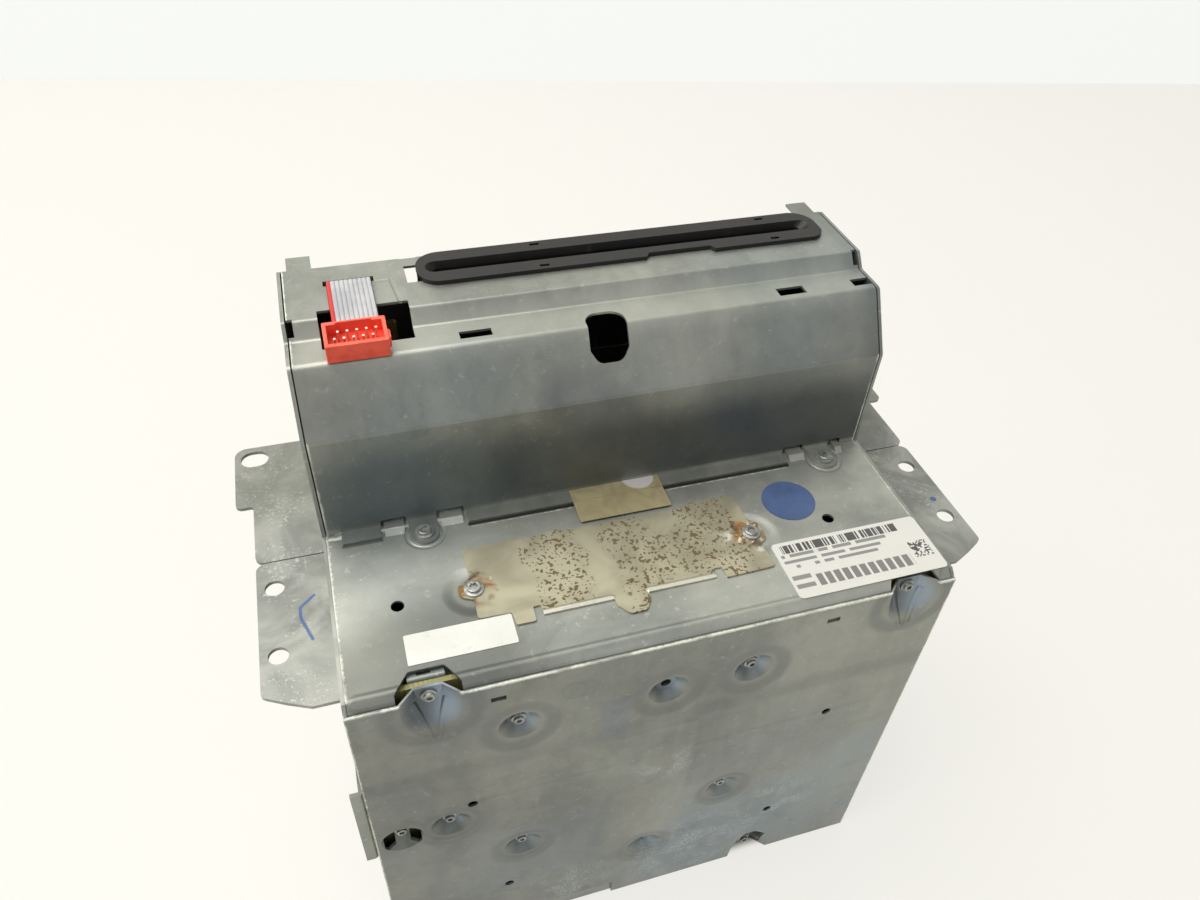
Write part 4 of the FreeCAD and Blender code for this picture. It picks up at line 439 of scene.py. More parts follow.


# Marks of the sheet metal, in millimetres
# edges: start, end and width of a pale cut edge
# painted_shade_and_light: start, end, width, share and screen values of a soft stroke; dark
# strokes are painted shade, pale ones painted light
# fields: left, right, low and high from the rim, softness, share and screen values of a tinted
# field; the dark ones along pressed steps are painted shade
# dishes: x, height from the rim and radius; scuffs: x, y, z and radius

NOSE = dict(
    edges=[
        ((-88.6, 1, 159), (-88.6, 1, 195.5), 1),
        ((88.6, 1, 159), (88.6, 1, 195.5), 0.8),
        ((-88.6, 12, 214), (-88.6, 23.4, 214), 0.9),
        ((-86, 0.8, 159.2), (-28, 0.8, 159.2), 0.7),
        ((-88.6, 54.5, TOP), (-88.6, 27.5, TOP), 0.7),
    ],
    reliefs=[
        ridge((-62.9, 42.8, TOP), (-57.9, 42.8, TOP), 1.3, -0.9),
        ridge((-57.9, 42.8, TOP), (-56.6, 29.4, TOP), 1.3, -0.9),
    ],
    # Painted shade on the nose's slanted face and dark front face, partly standing for its real
    # darker staining, and a pale stroke of painted light high on the slanted face
    painted_shade_and_light=[
        ((-80, 4, 200), (80, 4, 200), 32, 0.14, (58, 60, 54)),
        ((-80, 1, 173), (-40, 1, 173), 21, 0.44, (62, 80, 96)),
        ((-25, 1, 172), (84, 1, 172), 21, 0.56, (58, 66, 74)),
        ((50, 1, 170), (90, 1, 170), 40, 0.34, (46, 51, 56)),
        ((-12, 1, 196), (14, 1, 172), 15, 0.30, (66, 74, 86)),
        ((-80, 18, 214), (80, 18, 214), 11, 0.22, (222, 224, 212)),
    ],
    bloom=0.25, streak=(1, 0.25, 0.22))

LEDGE = dict(
    edges=[
        ((-89, -60, 159.3), (-89, 5, 159.3), 1.3),
        ((-89, -60.4, 158.6), (89, -60.4, 158.6), 0.8),
        ((89, -60, 159.3), (89, 5, 159.3), 0.8),
        ((-88, -0.5, 159.2), (-50, -0.5, 159.2), 1.2),
        ((-46, -5.6, 159.2), (60, -5.6, 159.2), 0.4),
    ],
    # Painted light and shade on the ledge: pale patches of painted light at the left and right, a
    # dark patch of painted shade that damps the lamp's sheen at the front left corner, and dark
    # lines of painted shadow in the seam along the nose's foot
    painted_shade_and_light=[
        ((-76, -30, 159), (-58, -16, 159), 26, 0.20, (208, 212, 198)),
        ((-92, -64, 159), (-62, -52, 159), 34, 0.62, (84, 86, 80)),
        ((24, -50, 159), (62, -54, 159), 24, 0.22, (216, 216, 204)),
        ((-46.4, -4.6, 159), (60.6, -4.6, 159), 1.1, 0.9, (22, 22, 20)),
        ((-84.2, -4.5, 159), (-73.2, -4.5, 159), 0.9, 0.6, (40, 40, 36)),
    ],
    reliefs=[
        dip((CLAMP_LEFT, CLAMP_Y, 159), 5.5, 9.5, -2.4),
        dip((CLAMP_RIGHT, CLAMP_Y, 159), 5.5, 9.5, -2.4),
        ring((-60.3, -5.3, 159), 5.6, 1, -0.8),
        ring((74, -5.3, 159), 5.6, 1, -0.8),
        ridge((-86, -58.8, 159), (84, -58.8, 159), 5, 1.1),
    ],
    bloom=0.45, streak=(0.35, 1, 1))

COVER = dict(
    edges=[((-90, -61.4, 156.8), (90, -61.4, 156.8), 0.9), *uprights(-61.4, RIM)],
    reliefs=[
        plate(-20.2, -11.3, -41, -21, 0.8, 0.8),
        ring((-28.6, FRONT, RIM - 11.1), 3.6, 0.8, -0.6),
        plate(None, None, -43, -36, 2.6, 1.5),
        plate(-70, -15, -62, -59, 1, 1.2),
        plate(12, 78, -62, -59, 1, 1.2),
        plate(-15, 12, -122, -43, 1.6, 2.2),
        plate(12, 15, -22, -14, 0.8, 1.2),
        *(crease((start, 0, RIM - 5), (end, 0, RIM - 19), 1.6, 1.6) for start, end in (
            (-72.5, -68.6), (-63.6, -67.2), (72.2, 75.8), (81, 77.4))),
    ],
    # Painted shade down the left side of the front cover and painted light on its right side
    painted_shade_and_light=[
        ((-90, FRONT, 150), (-70, FRONT, 10), 75, 0.20, (72, 72, 70)),
        ((66, FRONT, 130), (84, FRONT, 70), 52, 0.20, (196, 196, 184)),
    ],
    # Tinted fields: the dark band 36 to 43 below the rim and the narrow dark strip at x 12 to 14.5
    # are painted shade along pressed steps; the rest give bluish tints and one paler field
    fields=[
        (None, None, -43, -36, 3, 0.26, (98, 101, 100)),
        (-20.2, -11.3, -41, -21, 1.2, 0.30, (110, 124, 140)),
        (-15, 12, -122, -62, 1.6, 0.16, (160, 160, 150)),
        (-58, -16, -126, -84, 8, 0.22, (122, 136, 150)),
        (12, 14.5, -86, -44, 1, 0.25, (106, 108, 104)),
        (14, 70, -90, -66, 7, 0.16, (116, 128, 138)),
    ],
    dishes=[
        (-44.3, -23.4, 6.5), (0.5, -24, 6.5), (27.8, -23.4, 6.5),
        (-67, -70.2, 5.6), (-44.4, -97.2, 5.6), (0.5, -124.2, 5.2),
        (27.8, -95.6, 5.2), (-68, -6, 9), (76.6, -6, 9),
    ],
    scuffs=[(20, FRONT, 22, 34), (52, FRONT, 40, 22), (-30, FRONT, 14, 26), (4, FRONT, 92, 16)],
    bloom=0.22, streak=(1, 1, 0.3), cooled=0.7)


# Finishes ---


def zinc_sheet(name, colours, painted_light_scale=1, metallic=0.72, roughness=0.40, edges=(), reliefs=(),
               bloom=0.35, streak=(1, 1, 0.25), cooled=0.35, painted_shade_and_light=(), fields=(), dishes=(),
               scuffs=()):
    """Galvanised steel: clouded crystals, flow streaks, grey stains, white bloom, pale edges, and
    painted shade and painted light in strokes, fields and dishes.
    """
    paint = Paint(name, metallic, roughness)
    clouds = paint.noise(16, 3, 0.55, 0.4)
    blotches = paint.noise(75, 4, 0.6, 0.6)
    streaks = paint.noise(60, 3, 0.6, 0.2, paint.stretched(*streak))
    crystals = paint.cells(260)
    grain = paint.noise(2200, 2, 0.6)
    level = clouds * 0.60 + blotches * 0.18 + streaks * 0.42 + crystals * 0.05 + grain * 0.10
    # The scale paints lit and shaded copies of one zinc: lighter for the nose and ledge, darker
    # for the front cover
    dark, light = (tuple(part * painted_light_scale for part in shade) + (1,)
                   for shade in (colours.zinc_dark, colours.zinc_light))
    paint.base(dark, light, paint.rise(level, 0.42, 1))
    paint.lay((128, 141, 150), paint.patches(0.46, 0.70, 11, 2) * cooled)
    stain = paint.patches(0.56, 0.72, 34, 5, 0.68, 0.8)
    paint.lay((104, 103, 92), stain * 0.20)
    paint.lay((214, 216, 210), paint.patches(0.60, 0.70, 420, 4, 0.7) * bloom)
    # Soft strokes of painted shade and painted light over the zinc colour
    for start, end, width, share, tinge in painted_shade_and_light:
        painted_stroke = paint.fall(paint.line(start, end), width * 0.35 * MM, width * MM)
        if start[2] > NOSE_FOOT:
            painted_stroke = painted_stroke * paint.rise(paint.z, 160.3 * MM, 161.3 * MM) * (0.8 + streaks * 0.4)
        paint.lay(tinge, painted_stroke * share)
    for *field, tinge in fields:
        paint.lay(tinge, plate(*field)(paint))
    shaded_halos = []
    # Each dish gets painted shading inside, dark on its left and pale bluish on its right, and a
    # ring of painted shade over the shallow halo round it
    for x, rise, radius in dishes:
        gap = paint.away(x, -59.5, RIM + rise)
        inner = paint.fall(gap, (radius - 3.5) * MM, (radius + 0.6) * MM)
        side = paint.rise(paint.x, (x - 3) * MM, (x + 4) * MM)
        paint.lay(paint.mix((66, 78, 92), (152, 170, 190), side), inner * 0.6)
        shaded_halos.append(paint.window(gap, (radius + 1.2) * MM, (radius + 5.5) * MM, 1.3 * MM))
    shaded_halo = highest(shaded_halos)
    # Painted shade over the halos round the dishes
    if shaded_halo is not None:
        paint.lay((108, 111, 108), shaded_halo * 0.5)
    frost = paint.patches(0.42, 0.62, 1500, 3, 0.7)
    for x, y, z, radius in scuffs:
        field = paint.fall(paint.away(x, y, z), radius * 0.3 * MM, radius * MM) * frost
        paint.lay((192, 202, 208), field * paint.rise(blotches, 0.40, 0.60) * 0.5)
    ragged = paint.noise(700, 4, 0.7)
    crust = highest(
        paint.fall(paint.line(start, end) + (ragged - 0.5) * (width * 1.4 * MM),
                   width * 0.25 * MM, width * 0.8 * MM)
        for start, end, width in edges)
    rough = roughness - 0.08 + level * 0.14 + stain * 0.10
    relief = grain * 0.10 + blotches * 0.16 + crystals * 0.05
    if crust is not None:
        broken = paint.patches(0.34, 0.52, 120, 3, 0.6)
        paint.lay((232, 232, 222), crust * (0.35 + broken * 0.55))
        rough = rough + crust * 0.25
        relief = relief + crust * 0.3
    if shaded_halo is not None:
        relief = relief - shaded_halo * 0.8
    for pressed in reliefs:
        relief = relief + pressed(paint)
    return paint.done(relief, 0.22 * MM, rough)


def plastic(name, main, other, roughness=0.45, scale=900, wear=0.15):
    """Moulded plastic or rubber: slight cloud in colour, fine surface grain and dust."""
    paint = Paint(name, 0, roughness)
    grain = paint.noise(scale, 3, 0.6)
    paint.base(main, other, paint.patches(0.4, 0.7, 40, 3, 0.6))
    dust = paint.patches(0.58, 0.74, 260, 4, 0.7)
    paint.lay((140, 136, 128), dust * wear)
    return paint.done(grain, 0.03 * MM, roughness - 0.05 + grain * 0.15 + dust * 0.15)


def bare_metal(name, main, other, roughness=0.3, along=(1, 1, 1), metallic=0.9):
    """Drawn or turned metal with fine lines and a little cloud."""
    paint = Paint(name, metallic, roughness)
    lines = paint.noise(900, 2, 0.5, 0, paint.stretched(*along))
    cloud = paint.noise(60, 3, 0.6, 0.5)
    paint.base(main, other, paint.rise(cloud * 0.7 + lines * 0.3, 0.35, 0.65))
    return paint.done(lines, 0.02 * MM, roughness - 0.08 + lines * 0.12 + cloud * 0.10)


def table_finish(pale, name, seen_as, mirrored, share):
    """Pale surface that keeps shadows and looks white to the camera, and by a share in mirrors."""
    paint = Paint(name, 0, 0.55)
    paint.shader.inputs["Base Color"].default_value = (*pale, 1)
    paint.feed("Roughness", 0.5 + paint.noise(6, 2) * 0.1)
    glow = paint.add("ShaderNodeEmission", sockets={"Color": tone(*seen_as), "Strength": 1.0})
    path = paint.add("ShaderNodeLightPath")
    camera, glossy, through = (Value(paint, path.outputs[f"Is {kind} Ray"])
                               for kind in ("Camera", "Glossy", "Transmission"))
    seen = (camera + (glossy + through) * mirrored).lowest(1)
    under = (paint.window(paint.x, -88 * MM, 88 * MM, 2 * MM)
             * paint.window(paint.y, -59 * MM, 54 * MM, 2 * MM))
    blend = paint.add("ShaderNodeMixShader", sockets={
        0: seen * (1 - under) * share, 1: paint.shader.outputs[0], 2: glow.outputs[0]})
    output = paint.tree.nodes["Material Output"]
    paint.tree.links.new(blend.outputs[0], output.inputs["Surface"])
    return paint.material


def ribbon_finish():
    """Grey wires side by side, the first one red, with painted shade in the seams between them."""
    paint = Paint("ribbon_grey", 0, 0.42)
    left, pitch = 76.55 * MM, 1.29 * MM
    wire = (paint.x + left) / pitch
    shaded_groove = paint.rise(paint.off_middle(wire), 0.36, 0.5)
    cloud = paint.noise(120, 3)
    paint.base((186, 186, 190), (168, 168, 174), paint.rise(cloud, 0.4, 0.6))
    paint.lay((206, 44, 40), paint.fall(wire, 0.98, 1.02))
    # Painted shade in the seams between the wires
    paint.lay((106, 104, 106), shaded_groove * 0.38)
    return paint.done(1 - shaded_groove, 0.12 * MM, 0.36 + cloud * 0.15)


def plug_finish(red):
    """Glossy red moulding, paler in patches towards its top."""
    paint = Paint("plug_red", 0, 0.32)
    cloud = paint.noise(180, 3)
    paint.base((*red, 1), (238, 80, 60), paint.rise(cloud, 0.4, 0.65))
    # Paler patches above a height near the top of the plug
    rim = paint.rise(paint.z, 220.0 * MM, 221.6 * MM) * paint.rise(cloud, 0.3, 0.6)
    paint.lay((240, 120, 96), rim * 0.4)
    return paint.done(paint.noise(1500, 2), 0.02 * MM, 0.26 + cloud * 0.16)


def ear_finish(name, left):
    """Plated brackets: soft grey with white bloom and stains, painted shade towards the back, a
    pen stroke or a dot.
    """
    paint = Paint(name, 0.45, 0.45)
    clouds = paint.noise(45, 4, 0.6, 0.7)
    grain = paint.noise(1700, 2)
    paint.base((124, 127, 122), (164, 165, 158), paint.rise(clouds, 0.35, 0.65))
    bloom = (paint.patches(0.52, 0.64, 900, 4, 0.7)
             * paint.patches(0.42, 0.66, 70, 4, 0.65))
    paint.lay((228, 229, 223), bloom * (0.62 if left else 0.32))
    stain = paint.patches(0.56, 0.70, 85, 4, 0.65, 0.5)
    paint.lay((118, 108, 84), stain * (0.22 if left else 0.45))
    # Painted shade towards the back of the ears, strongest on the left
    paint.lay((112, 114, 104), paint.rise(paint.y, 0, 30 * MM) * (0.5 if left else 0.1))
    if left:
        bends = [(-94.5, -15.3, 153), (-98.6, -19.1, 153), (-98.6, -22.8, 153),
                 (-95.9, -30.9, 153)]
        ink = highest(
            paint.fall(paint.line(start, end) + (grain - 0.5) * (0.4 * MM), 0.2 * MM, 0.7 * MM)
            for start, end in zip(bends, bends[1:]))
    else:
        ink = paint.fall(paint.away(105.4, -26.5, 153), 0.8 * MM, 1.3 * MM)
    paint.lay((52, 84, 142), ink * 0.8)
    return paint.done(grain * 0.1 + clouds * 0.3 + bloom * 0.3, 0.2 * MM,
                      0.38 + clouds * 0.15 + bloom * 0.25)


def tin_finish(rust):
    """Bright tin plate with brown rust specks, orange rings round its screws, and pale lines of
    painted highlight along its bends.
    """
    paint = Paint("clamp_tin", 0.6, 0.44)
    clouds = paint.noise(55, 3, 0.6, 0.5)
    paint.base((160, 155, 132), (188, 182, 158), paint.rise(clouds, 0.35, 0.65))
    fine = paint.patches(0.60, 0.63, 470, 1.5, 0.5)
    fine = fine.highest(paint.patches(0.61, 0.65, 1100, 0.5, 0.5))
    field = paint.patches(0.44, 0.62, 48, 3, 0.6, 0.3) * 0.45
    for low, high in ((-33, -17), (-9, 6), (15, 34)):
        field = field + paint.window(paint.x, low * MM, high * MM, 4 * MM) * 0.55
    specks = paint.rise(fine * field.lowest(1), 0.28, 0.5)
    ragged = (paint.noise(300, 4, 0.7) - 0.5) * (7 * MM)
    rings = []
    for x in (CLAMP_LEFT, CLAMP_RIGHT):
        gap = paint.away(x, CLAMP_Y, 159.6) + ragged
        rings.append(paint.rise(gap, 1.8 * MM, 3.2 * MM) * paint.fall(gap, 4.6 * MM, 7.4 * MM))
    paint.lay((*rust, 1), specks * 0.85)
    burnt = paint.mix((134, 88, 8), (56, 33, 8), paint.patches(0.42, 0.58, 260, 3))
    rings = highest(rings) * paint.patches(0.36, 0.52, 190, 2, 0.5, 0.8)
    paint.lay(burnt, rings * 0.85)
    # Pale lines of painted highlight along the plate's two bends, which also raise the relief
    bend_highlight = highest(
        paint.fall(paint.line((start, -43.5, 159.4), (end, -43.5, 159.4)), 0.6 * MM, 1.3 * MM)
        for start, end in ((-32.6, -13.2), (-1.6, 18.4)))
    paint.lay((228, 226, 214), bend_highlight * 0.65)
    crust = paint.patches(0.60, 0.66, 210, 3, 0.7, 0.6)
    near = paint.fall(paint.away(CLAMP_RIGHT, CLAMP_Y, 159.6), 6 * MM, 12 * MM)
    near = near.highest(paint.fall(paint.away(CLAMP_LEFT, -27.5, 159.6), 5 * MM, 9 * MM))
    paint.lay((226, 224, 210), crust * near * 0.8)
    worn = specks.highest(rings)
    paint.feed("Metallic", 0.6 - worn * 0.55)
    return paint.done(clouds * 0.3 + worn * 0.05 + bend_highlight * 0.8, 0.2 * MM,
                      0.38 + clouds * 0.1 + worn * 0.4)


def paper_finish(name, main, other):
    """Paper with soft fibres, handling dirt and a little shine."""
    paint = Paint(name, 0, 0.5)
    fibre = paint.noise(900, 4, 0.7)
    paint.base(main, other, paint.patches(0.35, 0.65, 70, 4, 0.65))
    paint.lay((120, 116, 108), paint.patches(0.60, 0.72, 190, 4, 0.7) * 0.14)
    return paint.done(fibre, 0.04 * MM, 0.42 + fibre * 0.18)


def printed_finish():
    """White label: plain bars, plain rules where lines of print would be, and a chequer."""
    paint = Paint("main_paper", 0, 0.4)
    fibre = paint.noise(900, 4, 0.7)
    cloud = paint.noise(60, 3, 0.6)
    u = paint.x - 64.4 * MM
    v = paint.y + 47.1 * MM

    def inside(marks, left, right, low, high, soft=0.1):
        """Marks within a rectangle, in millimetres from the label's middle; None fills it."""
        across = paint.window(u, left * MM, right * MM, soft * MM)
        marks = across if marks is None else marks * across
        return marks * paint.window(v, low * MM, high * MM, soft * MM)

    bars = paint.rise(paint.chance(u / (0.31 * MM), 3), 0.38, 0.39)
    ink = inside(bars, -22.5, 17.5, 6.2, 9.4)
    rows = ((4.6, 1.2, -23.5, 12), (2.4, 1.1, -23.5, 9), (0.3, 1.1, -20.5, 7))
    for index, (low, height, left, right) in enumerate(rows):
        words = paint.rise(paint.chance(u / (1.6 * MM), index + 1), 0.22, 0.24)
        ink = ink.highest(inside(words, left, right, low, low + height) * 0.72)
    for low in (-4, -7.2):
        ink = ink.highest(inside(None, -23.8, -17.8, low, low + 1.6) * 0.72)
    blocks = paint.fall(paint.maths("FRACT", (u + 16.5 * MM) / (2.9 * MM)), 0.70, 0.74)
    ink = ink.highest(inside(blocks, -16.5, 15.5, -7.6, -3.2) * 0.80)
    dots = paint.rise(paint.chance(u / (0.52 * MM), v / (0.52 * MM)), 0.48, 0.50)
    ink = ink.highest(inside(dots, 17, 23.2, -5.2, 1, 0.05))
    paint.base((216, 215, 210), (207, 206, 200), cloud)
    paint.lay((34, 32, 36), ink * 0.9)
    return paint.done(fibre, 0.03 * MM, 0.32 + fibre * 0.18)


def tag_finish():
    """Amber film with adhesive marks and a pale disc near its right end."""
    paint = Paint("amber_film", 0.15, 0.3, Coat_Weight=0.4)
    cloud = paint.noise(90, 4, 0.6, 0.8)
    paint.base((168, 157, 122), (146, 136, 104), paint.rise(cloud, 0.35, 0.65))
    paint.lay((214, 208, 214), paint.fall(paint.away(9.5, 1.5, 160), 5.0 * MM, 5.6 * MM) * 0.75)
    from_middle = abs(paint.x - 1.3 * MM)
    paint.lay((172, 160, 124), paint.rise(from_middle, 14.0 * MM, 14.8 * MM) * 0.6)
    return paint.done(cloud, 0.2 * MM, 0.24 + cloud * 0.2)


def board_finish(name, bare, track):
    """Lacquered board: paler tracks along X and Z, tinned pads."""
    paint = Paint(name, 0, 0.35)
    area, pitch, pad = 11 * MM, 1.3 * MM, 2.6 * MM
    turn = paint.rise(paint.chance(paint.x / area, paint.z / area), 0.49, 0.51)
    across, along = (paint.fall(paint.off_middle(axis / pitch), 0.18, 0.22)
                     for axis in (paint.z, paint.x))
    lines = across * turn + along * (1 - turn)
    gaps = paint.patches(0.46, 0.50, 130, 2)
    paint.base(bare, track, lines * gaps)
    cell = paint.chance(paint.x / pad, paint.z / pad)
    wide, high = (paint.fall(paint.off_middle(axis / pad), 0.2, 0.24)
                  for axis in (paint.x, paint.z))
    pads = wide * high * paint.rise(cell, 0.80, 0.82)
    paint.lay((196, 196, 190), pads)
    paint.feed("Metallic", pads * 0.8)
    return paint.done(lines * gaps * 0.5 + pads, 0.06 * MM, 0.34 - pads * 0.08)


def steel_finish():
    """Zinc-plated steel with patches of white bloom."""
    paint = Paint("screw_steel", 0.75, 0.36)
    cloud = paint.noise(300, 4, 0.65)
    paint.base((134, 136, 132), (180, 182, 178), paint.rise(cloud, 0.35, 0.62))
    bloom = paint.patches(0.56, 0.66, 900, 3, 0.6)
    paint.lay((222, 222, 212), bloom * 0.5)
    return paint.done(cloud * 0.6 + bloom * 0.4, 0.08 * MM, 0.3 + cloud * 0.2 + bloom * 0.2)


# Stage ---


class PLAYER_OT_stage(bpy.types.Operator):
    """Camera, table, wall, lamps and world"""

    bl_idname = "player.stage"
    bl_label = "Stage"

    def execute(self, context):
        scene = context.scene
        sizes = scene.player_sizes
        scene.view_settings.view_transform = "Standard"
        lens = bpy.data.cameras.new("camera")
        lens.lens = LENS
        lens.sensor_width = FILM
        lens.sensor_fit = "HORIZONTAL"
        lens.clip_start = 0.01
        lens.clip_end = 20
        eye = bpy.data.objects.new("camera", lens)
        eye.matrix_world = VIEW
        scene.collection.objects.link(eye)
        scene.camera = eye
        flats = (
            ("table_top", (0, 0, 0), (0, 0, 0), ("table_white", (253, 252, 248), 1.0, 0.72)),
            ("wall", (0.278, 0.737, 2.9), (90, 0, -10.67),
             ("wall_white", (251, 253, 250), 0.8, 0.90)),
        )
        for name, place, turn, finish in flats:
            flat = begin(name, bpy.ops.mesh.primitive_plane_add, size=6.0, location=place,
                         rotation=[math.radians(angle) for angle in turn])
            bpy.ops.object.mode_set(mode="OBJECT")
            flat.data.materials.append(table_finish(scene.player_colours.table, *finish))
        lamps = (
            ("key_lamp", (-0.55, 0.12, 1.25), sizes.key_power, 1.25, (1.0, 0.985, 0.95)),
            ("fill_lamp", (0.35, -1.2, 0.9), sizes.fill_power, 1.0, (0.93, 0.97, 1.0)),
        )
        for name, place, power, width, light in lamps:
            lamp = bpy.data.lights.new(name, "AREA")
            lamp.energy = power
            lamp.size = width
            lamp.color = light
            holder = bpy.data.objects.new(name, lamp)
            holder.location = place
            aim = Vector((0, 0, 0.12)) - Vector(place)
            holder.rotation_euler = aim.to_track_quat("-Z", "Y").to_euler()
            scene.collection.objects.link(holder)
        world = bpy.data.worlds.new("room")
        world.use_nodes = True
        scene.world = world
        nodes, links = world.node_tree.nodes, world.node_tree.links
        sky = nodes["Background"]
        sky.inputs["Color"].default_value = (0.92, 0.93, 0.91, 1)
        sky.inputs["Strength"].default_value = 0.42
        seen = nodes.new("ShaderNodeBackground")
        seen.inputs["Color"].default_value = tone(240, 243, 240)
        path = nodes.new("ShaderNodeLightPath")
        blend = nodes.new("ShaderNodeMixShader")
        sources = (path.outputs["Is Camera Ray"], sky.outputs[0], seen.outputs[0])
        for source, socket in zip(sources, blend.inputs):
            links.new(source, socket)
        links.new(blend.outputs[0], nodes["World Output"].inputs["Surface"])
        return {"FINISHED"}


# Pieces ---


class PLAYER_OT_ribbon(bpy.types.Operator):
    """Ten-wire ribbon lead from the inner header up and forward to its red plug"""

    bl_idname = "player.ribbon"
    bl_label = "Ribbon lead"

    def execute(self, context):
        sizes = context.scene.player_sizes
        route = [mm(RIBBON_X, y, z) for y, z in (
            (44.9, 163.05), (44.9, 216.0), (44.7, 219.2), (41.5, 219.25), (25.8, 219.2),
            (21.8, 217.9), (20.2, 217.5))]
        section = bpy.data.curves.new("ribbon_section", "CURVE")
        section.dimensions = "2D"
        outline = section.splines.new("POLY")
        spots = []
        wire = sizes.ribbon_width / WIRES
        for side in (1, -1):
            for index in range(WIRES):
                for part in (0.0, 0.25, 0.5, 0.75):
                    across = -sizes.ribbon_width / 2 + wire * (index + part)
                    rise = 0.30 + 0.15 * math.sin(math.pi * part)
                    spots.append((side * across, side * rise * MM))
        outline.points.add(len(spots) - 1)
        for point, (across, rise) in zip(outline.points, spots):
            point.co = (across, rise, 0, 1)
        outline.use_cyclic_u = True
        lead = bpy.data.curves.new("ribbon_lead", "CURVE")
        lead.dimensions = "3D"
        spline = lead.splines.new("NURBS")
        spline.points.add(len(route) - 1)
        for point, spot in zip(spline.points, route):
            point.co = (*spot, 1)
        spline.order_u = 3
        spline.use_endpoint_u = True
        spline.resolution_u = 16
        lead.resolution_u = 16
        lead.twist_mode = "MINIMUM"
        lead.bevel_mode = "OBJECT"
        lead.bevel_object = bpy.data.objects.new("ribbon_section", section)
        lead.use_fill_caps = True
        piece = bpy.data.objects.new("ribbon_lead", lead)
        context.scene.collection.objects.link(piece)
        lead.materials.append(ribbon_finish())
        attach(piece, "case")
        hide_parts("ribbon_cable")
        dress(plug_finish(context.scene.player_colours.plug_red), "ribbon_plug")
        dress(bare_metal("pin_tin", (226, 220, 212), (198, 190, 180), 0.3), "plug_pins")
        return {"FINISHED"}


class PLAYER_OT_sheet_metal(bpy.types.Operator):
    """Galvanised covers, ledge, nose, ears and brackets"""

    bl_idname = "player.sheet_metal"
    bl_label = "Sheet metal"

    def execute(self, context):
        colours = context.scene.player_colours
        # The numbers after the colours scale the zinc as painted light: the ledge, nose and sides
        # lighter, the front cover darker
        dress(zinc_sheet("nose_zinc", colours, 1.08, **NOSE), "nose_cover")
        dress(zinc_sheet("ledge_zinc", colours, 1.25, roughness=0.46, **LEDGE), "ledge_plate")
        dress(zinc_sheet("front_zinc", colours, 0.88, **COVER), "front_cover")
        dress(zinc_sheet("back_zinc", colours, edges=uprights(55.3, 217), bloom=0.25),
              "back_cover")
        dress(zinc_sheet("side_zinc", colours, 1.08, edges=uprights(-60.4, RIM)),
              "side_wall_left", "side_wall_right", "side_lug")
        dress(zinc_sheet("base_zinc", colours, bloom=0.3, streak=(0.3, 1.0, 1.0)),
              "rear_panel", "inner_bracket")
        drive = zinc_sheet("drive_zinc", colours, 1.06, metallic=0.75, roughness=0.34, bloom=0.05)
        dress(drive, "drive_frame", "deck_plate", "gear_plate", "clamp_arm", "roller_arm",
              "rod_holders")
        dress(ear_finish("ear_zinc_left", True), "ear_left_front", "ear_left_rear")
        dress(ear_finish("ear_zinc_right", False), "ear_right_front", "ear_right_rear")
        dress(tin_finish(colours.rust), "clamp_plate")
        return {"FINISHED"}


class PLAYER_OT_mouldings(bpy.types.Operator):
    """Slot bezel, guides, connector bodies, fan, gears, dampers and rollers"""

    bl_idname = "player.mouldings"
    bl_label = "Mouldings"

    def execute(self, context):
        for nodes, *recipe in (
                ("slot_bezel", "bezel_black", (23, 21, 20), (17, 15, 15), 0.46, 1300.0, 0.07),
                ("disc_guide", "guide_black", (36, 36, 38), (26, 26, 28), 0.5),
                ("power_connector ribbon_header", "connector_black", (38, 38, 40), (28, 28, 30),
                 0.4),
                ("coax_sockets", "socket_grey", (62, 62, 64), (46, 46, 50), 0.4),
                ("fan_frame fan_rotor", "fan_black", (30, 31, 33), (22, 22, 25), 0.38, 700.0, 0.2),
                ("dampers", "damper_rubber", (46, 44, 46), (34, 33, 34), 0.7, 700.0, 0.25),
                ("loading_roller", "roller_rubber", (74, 70, 66), (58, 56, 53), 0.75, 1600.0, 0.3),
                ("roller_gear idler_gear reduction_gear motor_pinion", "gear_white",
                 (226, 224, 214), (210, 206, 192), 0.38, 900.0, 0.08),
                ("cam_slide clamper turntable sled", "slide_black", (40, 40, 42), (30, 30, 32),
                 0.36)):
            dress(plastic(*recipe), *nodes.split())
        return {"FINISHED"}


class PLAYER_OT_metals(bpy.types.Operator):
    """Motors, rods, shafts, rivets and pickup lens"""

    bl_idname = "player.metals"
    bl_label = "Motors, rods and lens"

    def execute(self, context):
        dress(bare_metal("motor_steel", (178, 180, 184), (150, 152, 158), 0.32),
              "loading_motor", "spindle_motor", "sled_motor")
        rod = bare_metal("bright_steel", (206, 208, 212), (180, 183, 188), 0.16, (1, 1, 0.1))
        dress(rod, "guide_rods", "roller_shaft", "slide_rivets", "lead_screw")
        dress(bare_metal("post_brass", (206, 176, 106), (176, 146, 82), 0.3), "board_posts")
        glass = Paint("lens_glass", 0.0, 0.04, Transmission_Weight=0.7, IOR=1.5)
        haze = glass.noise(400, 2)
        glass.base((150, 164, 214), (186, 170, 220), haze)
        dress(glass.done(haze, 0.005 * MM), "lens")
        return {"FINISHED"}


class PLAYER_OT_papers(bpy.types.Operator):
    """Printed label, blank label, round sticker and amber tag"""

    bl_idname = "player.papers"
    bl_label = "Labels and tags"

    def execute(self, context):
        dress(printed_finish(), "main_label")
        dress(paper_finish("blank_paper", (224, 224, 219), (217, 217, 210)), "blank_label")
        dress(paper_finish("sticker_blue", (74, 94, 134), (62, 82, 120)), "round_sticker")
        dress(tag_finish(), "amber_tag")
        return {"FINISHED"}


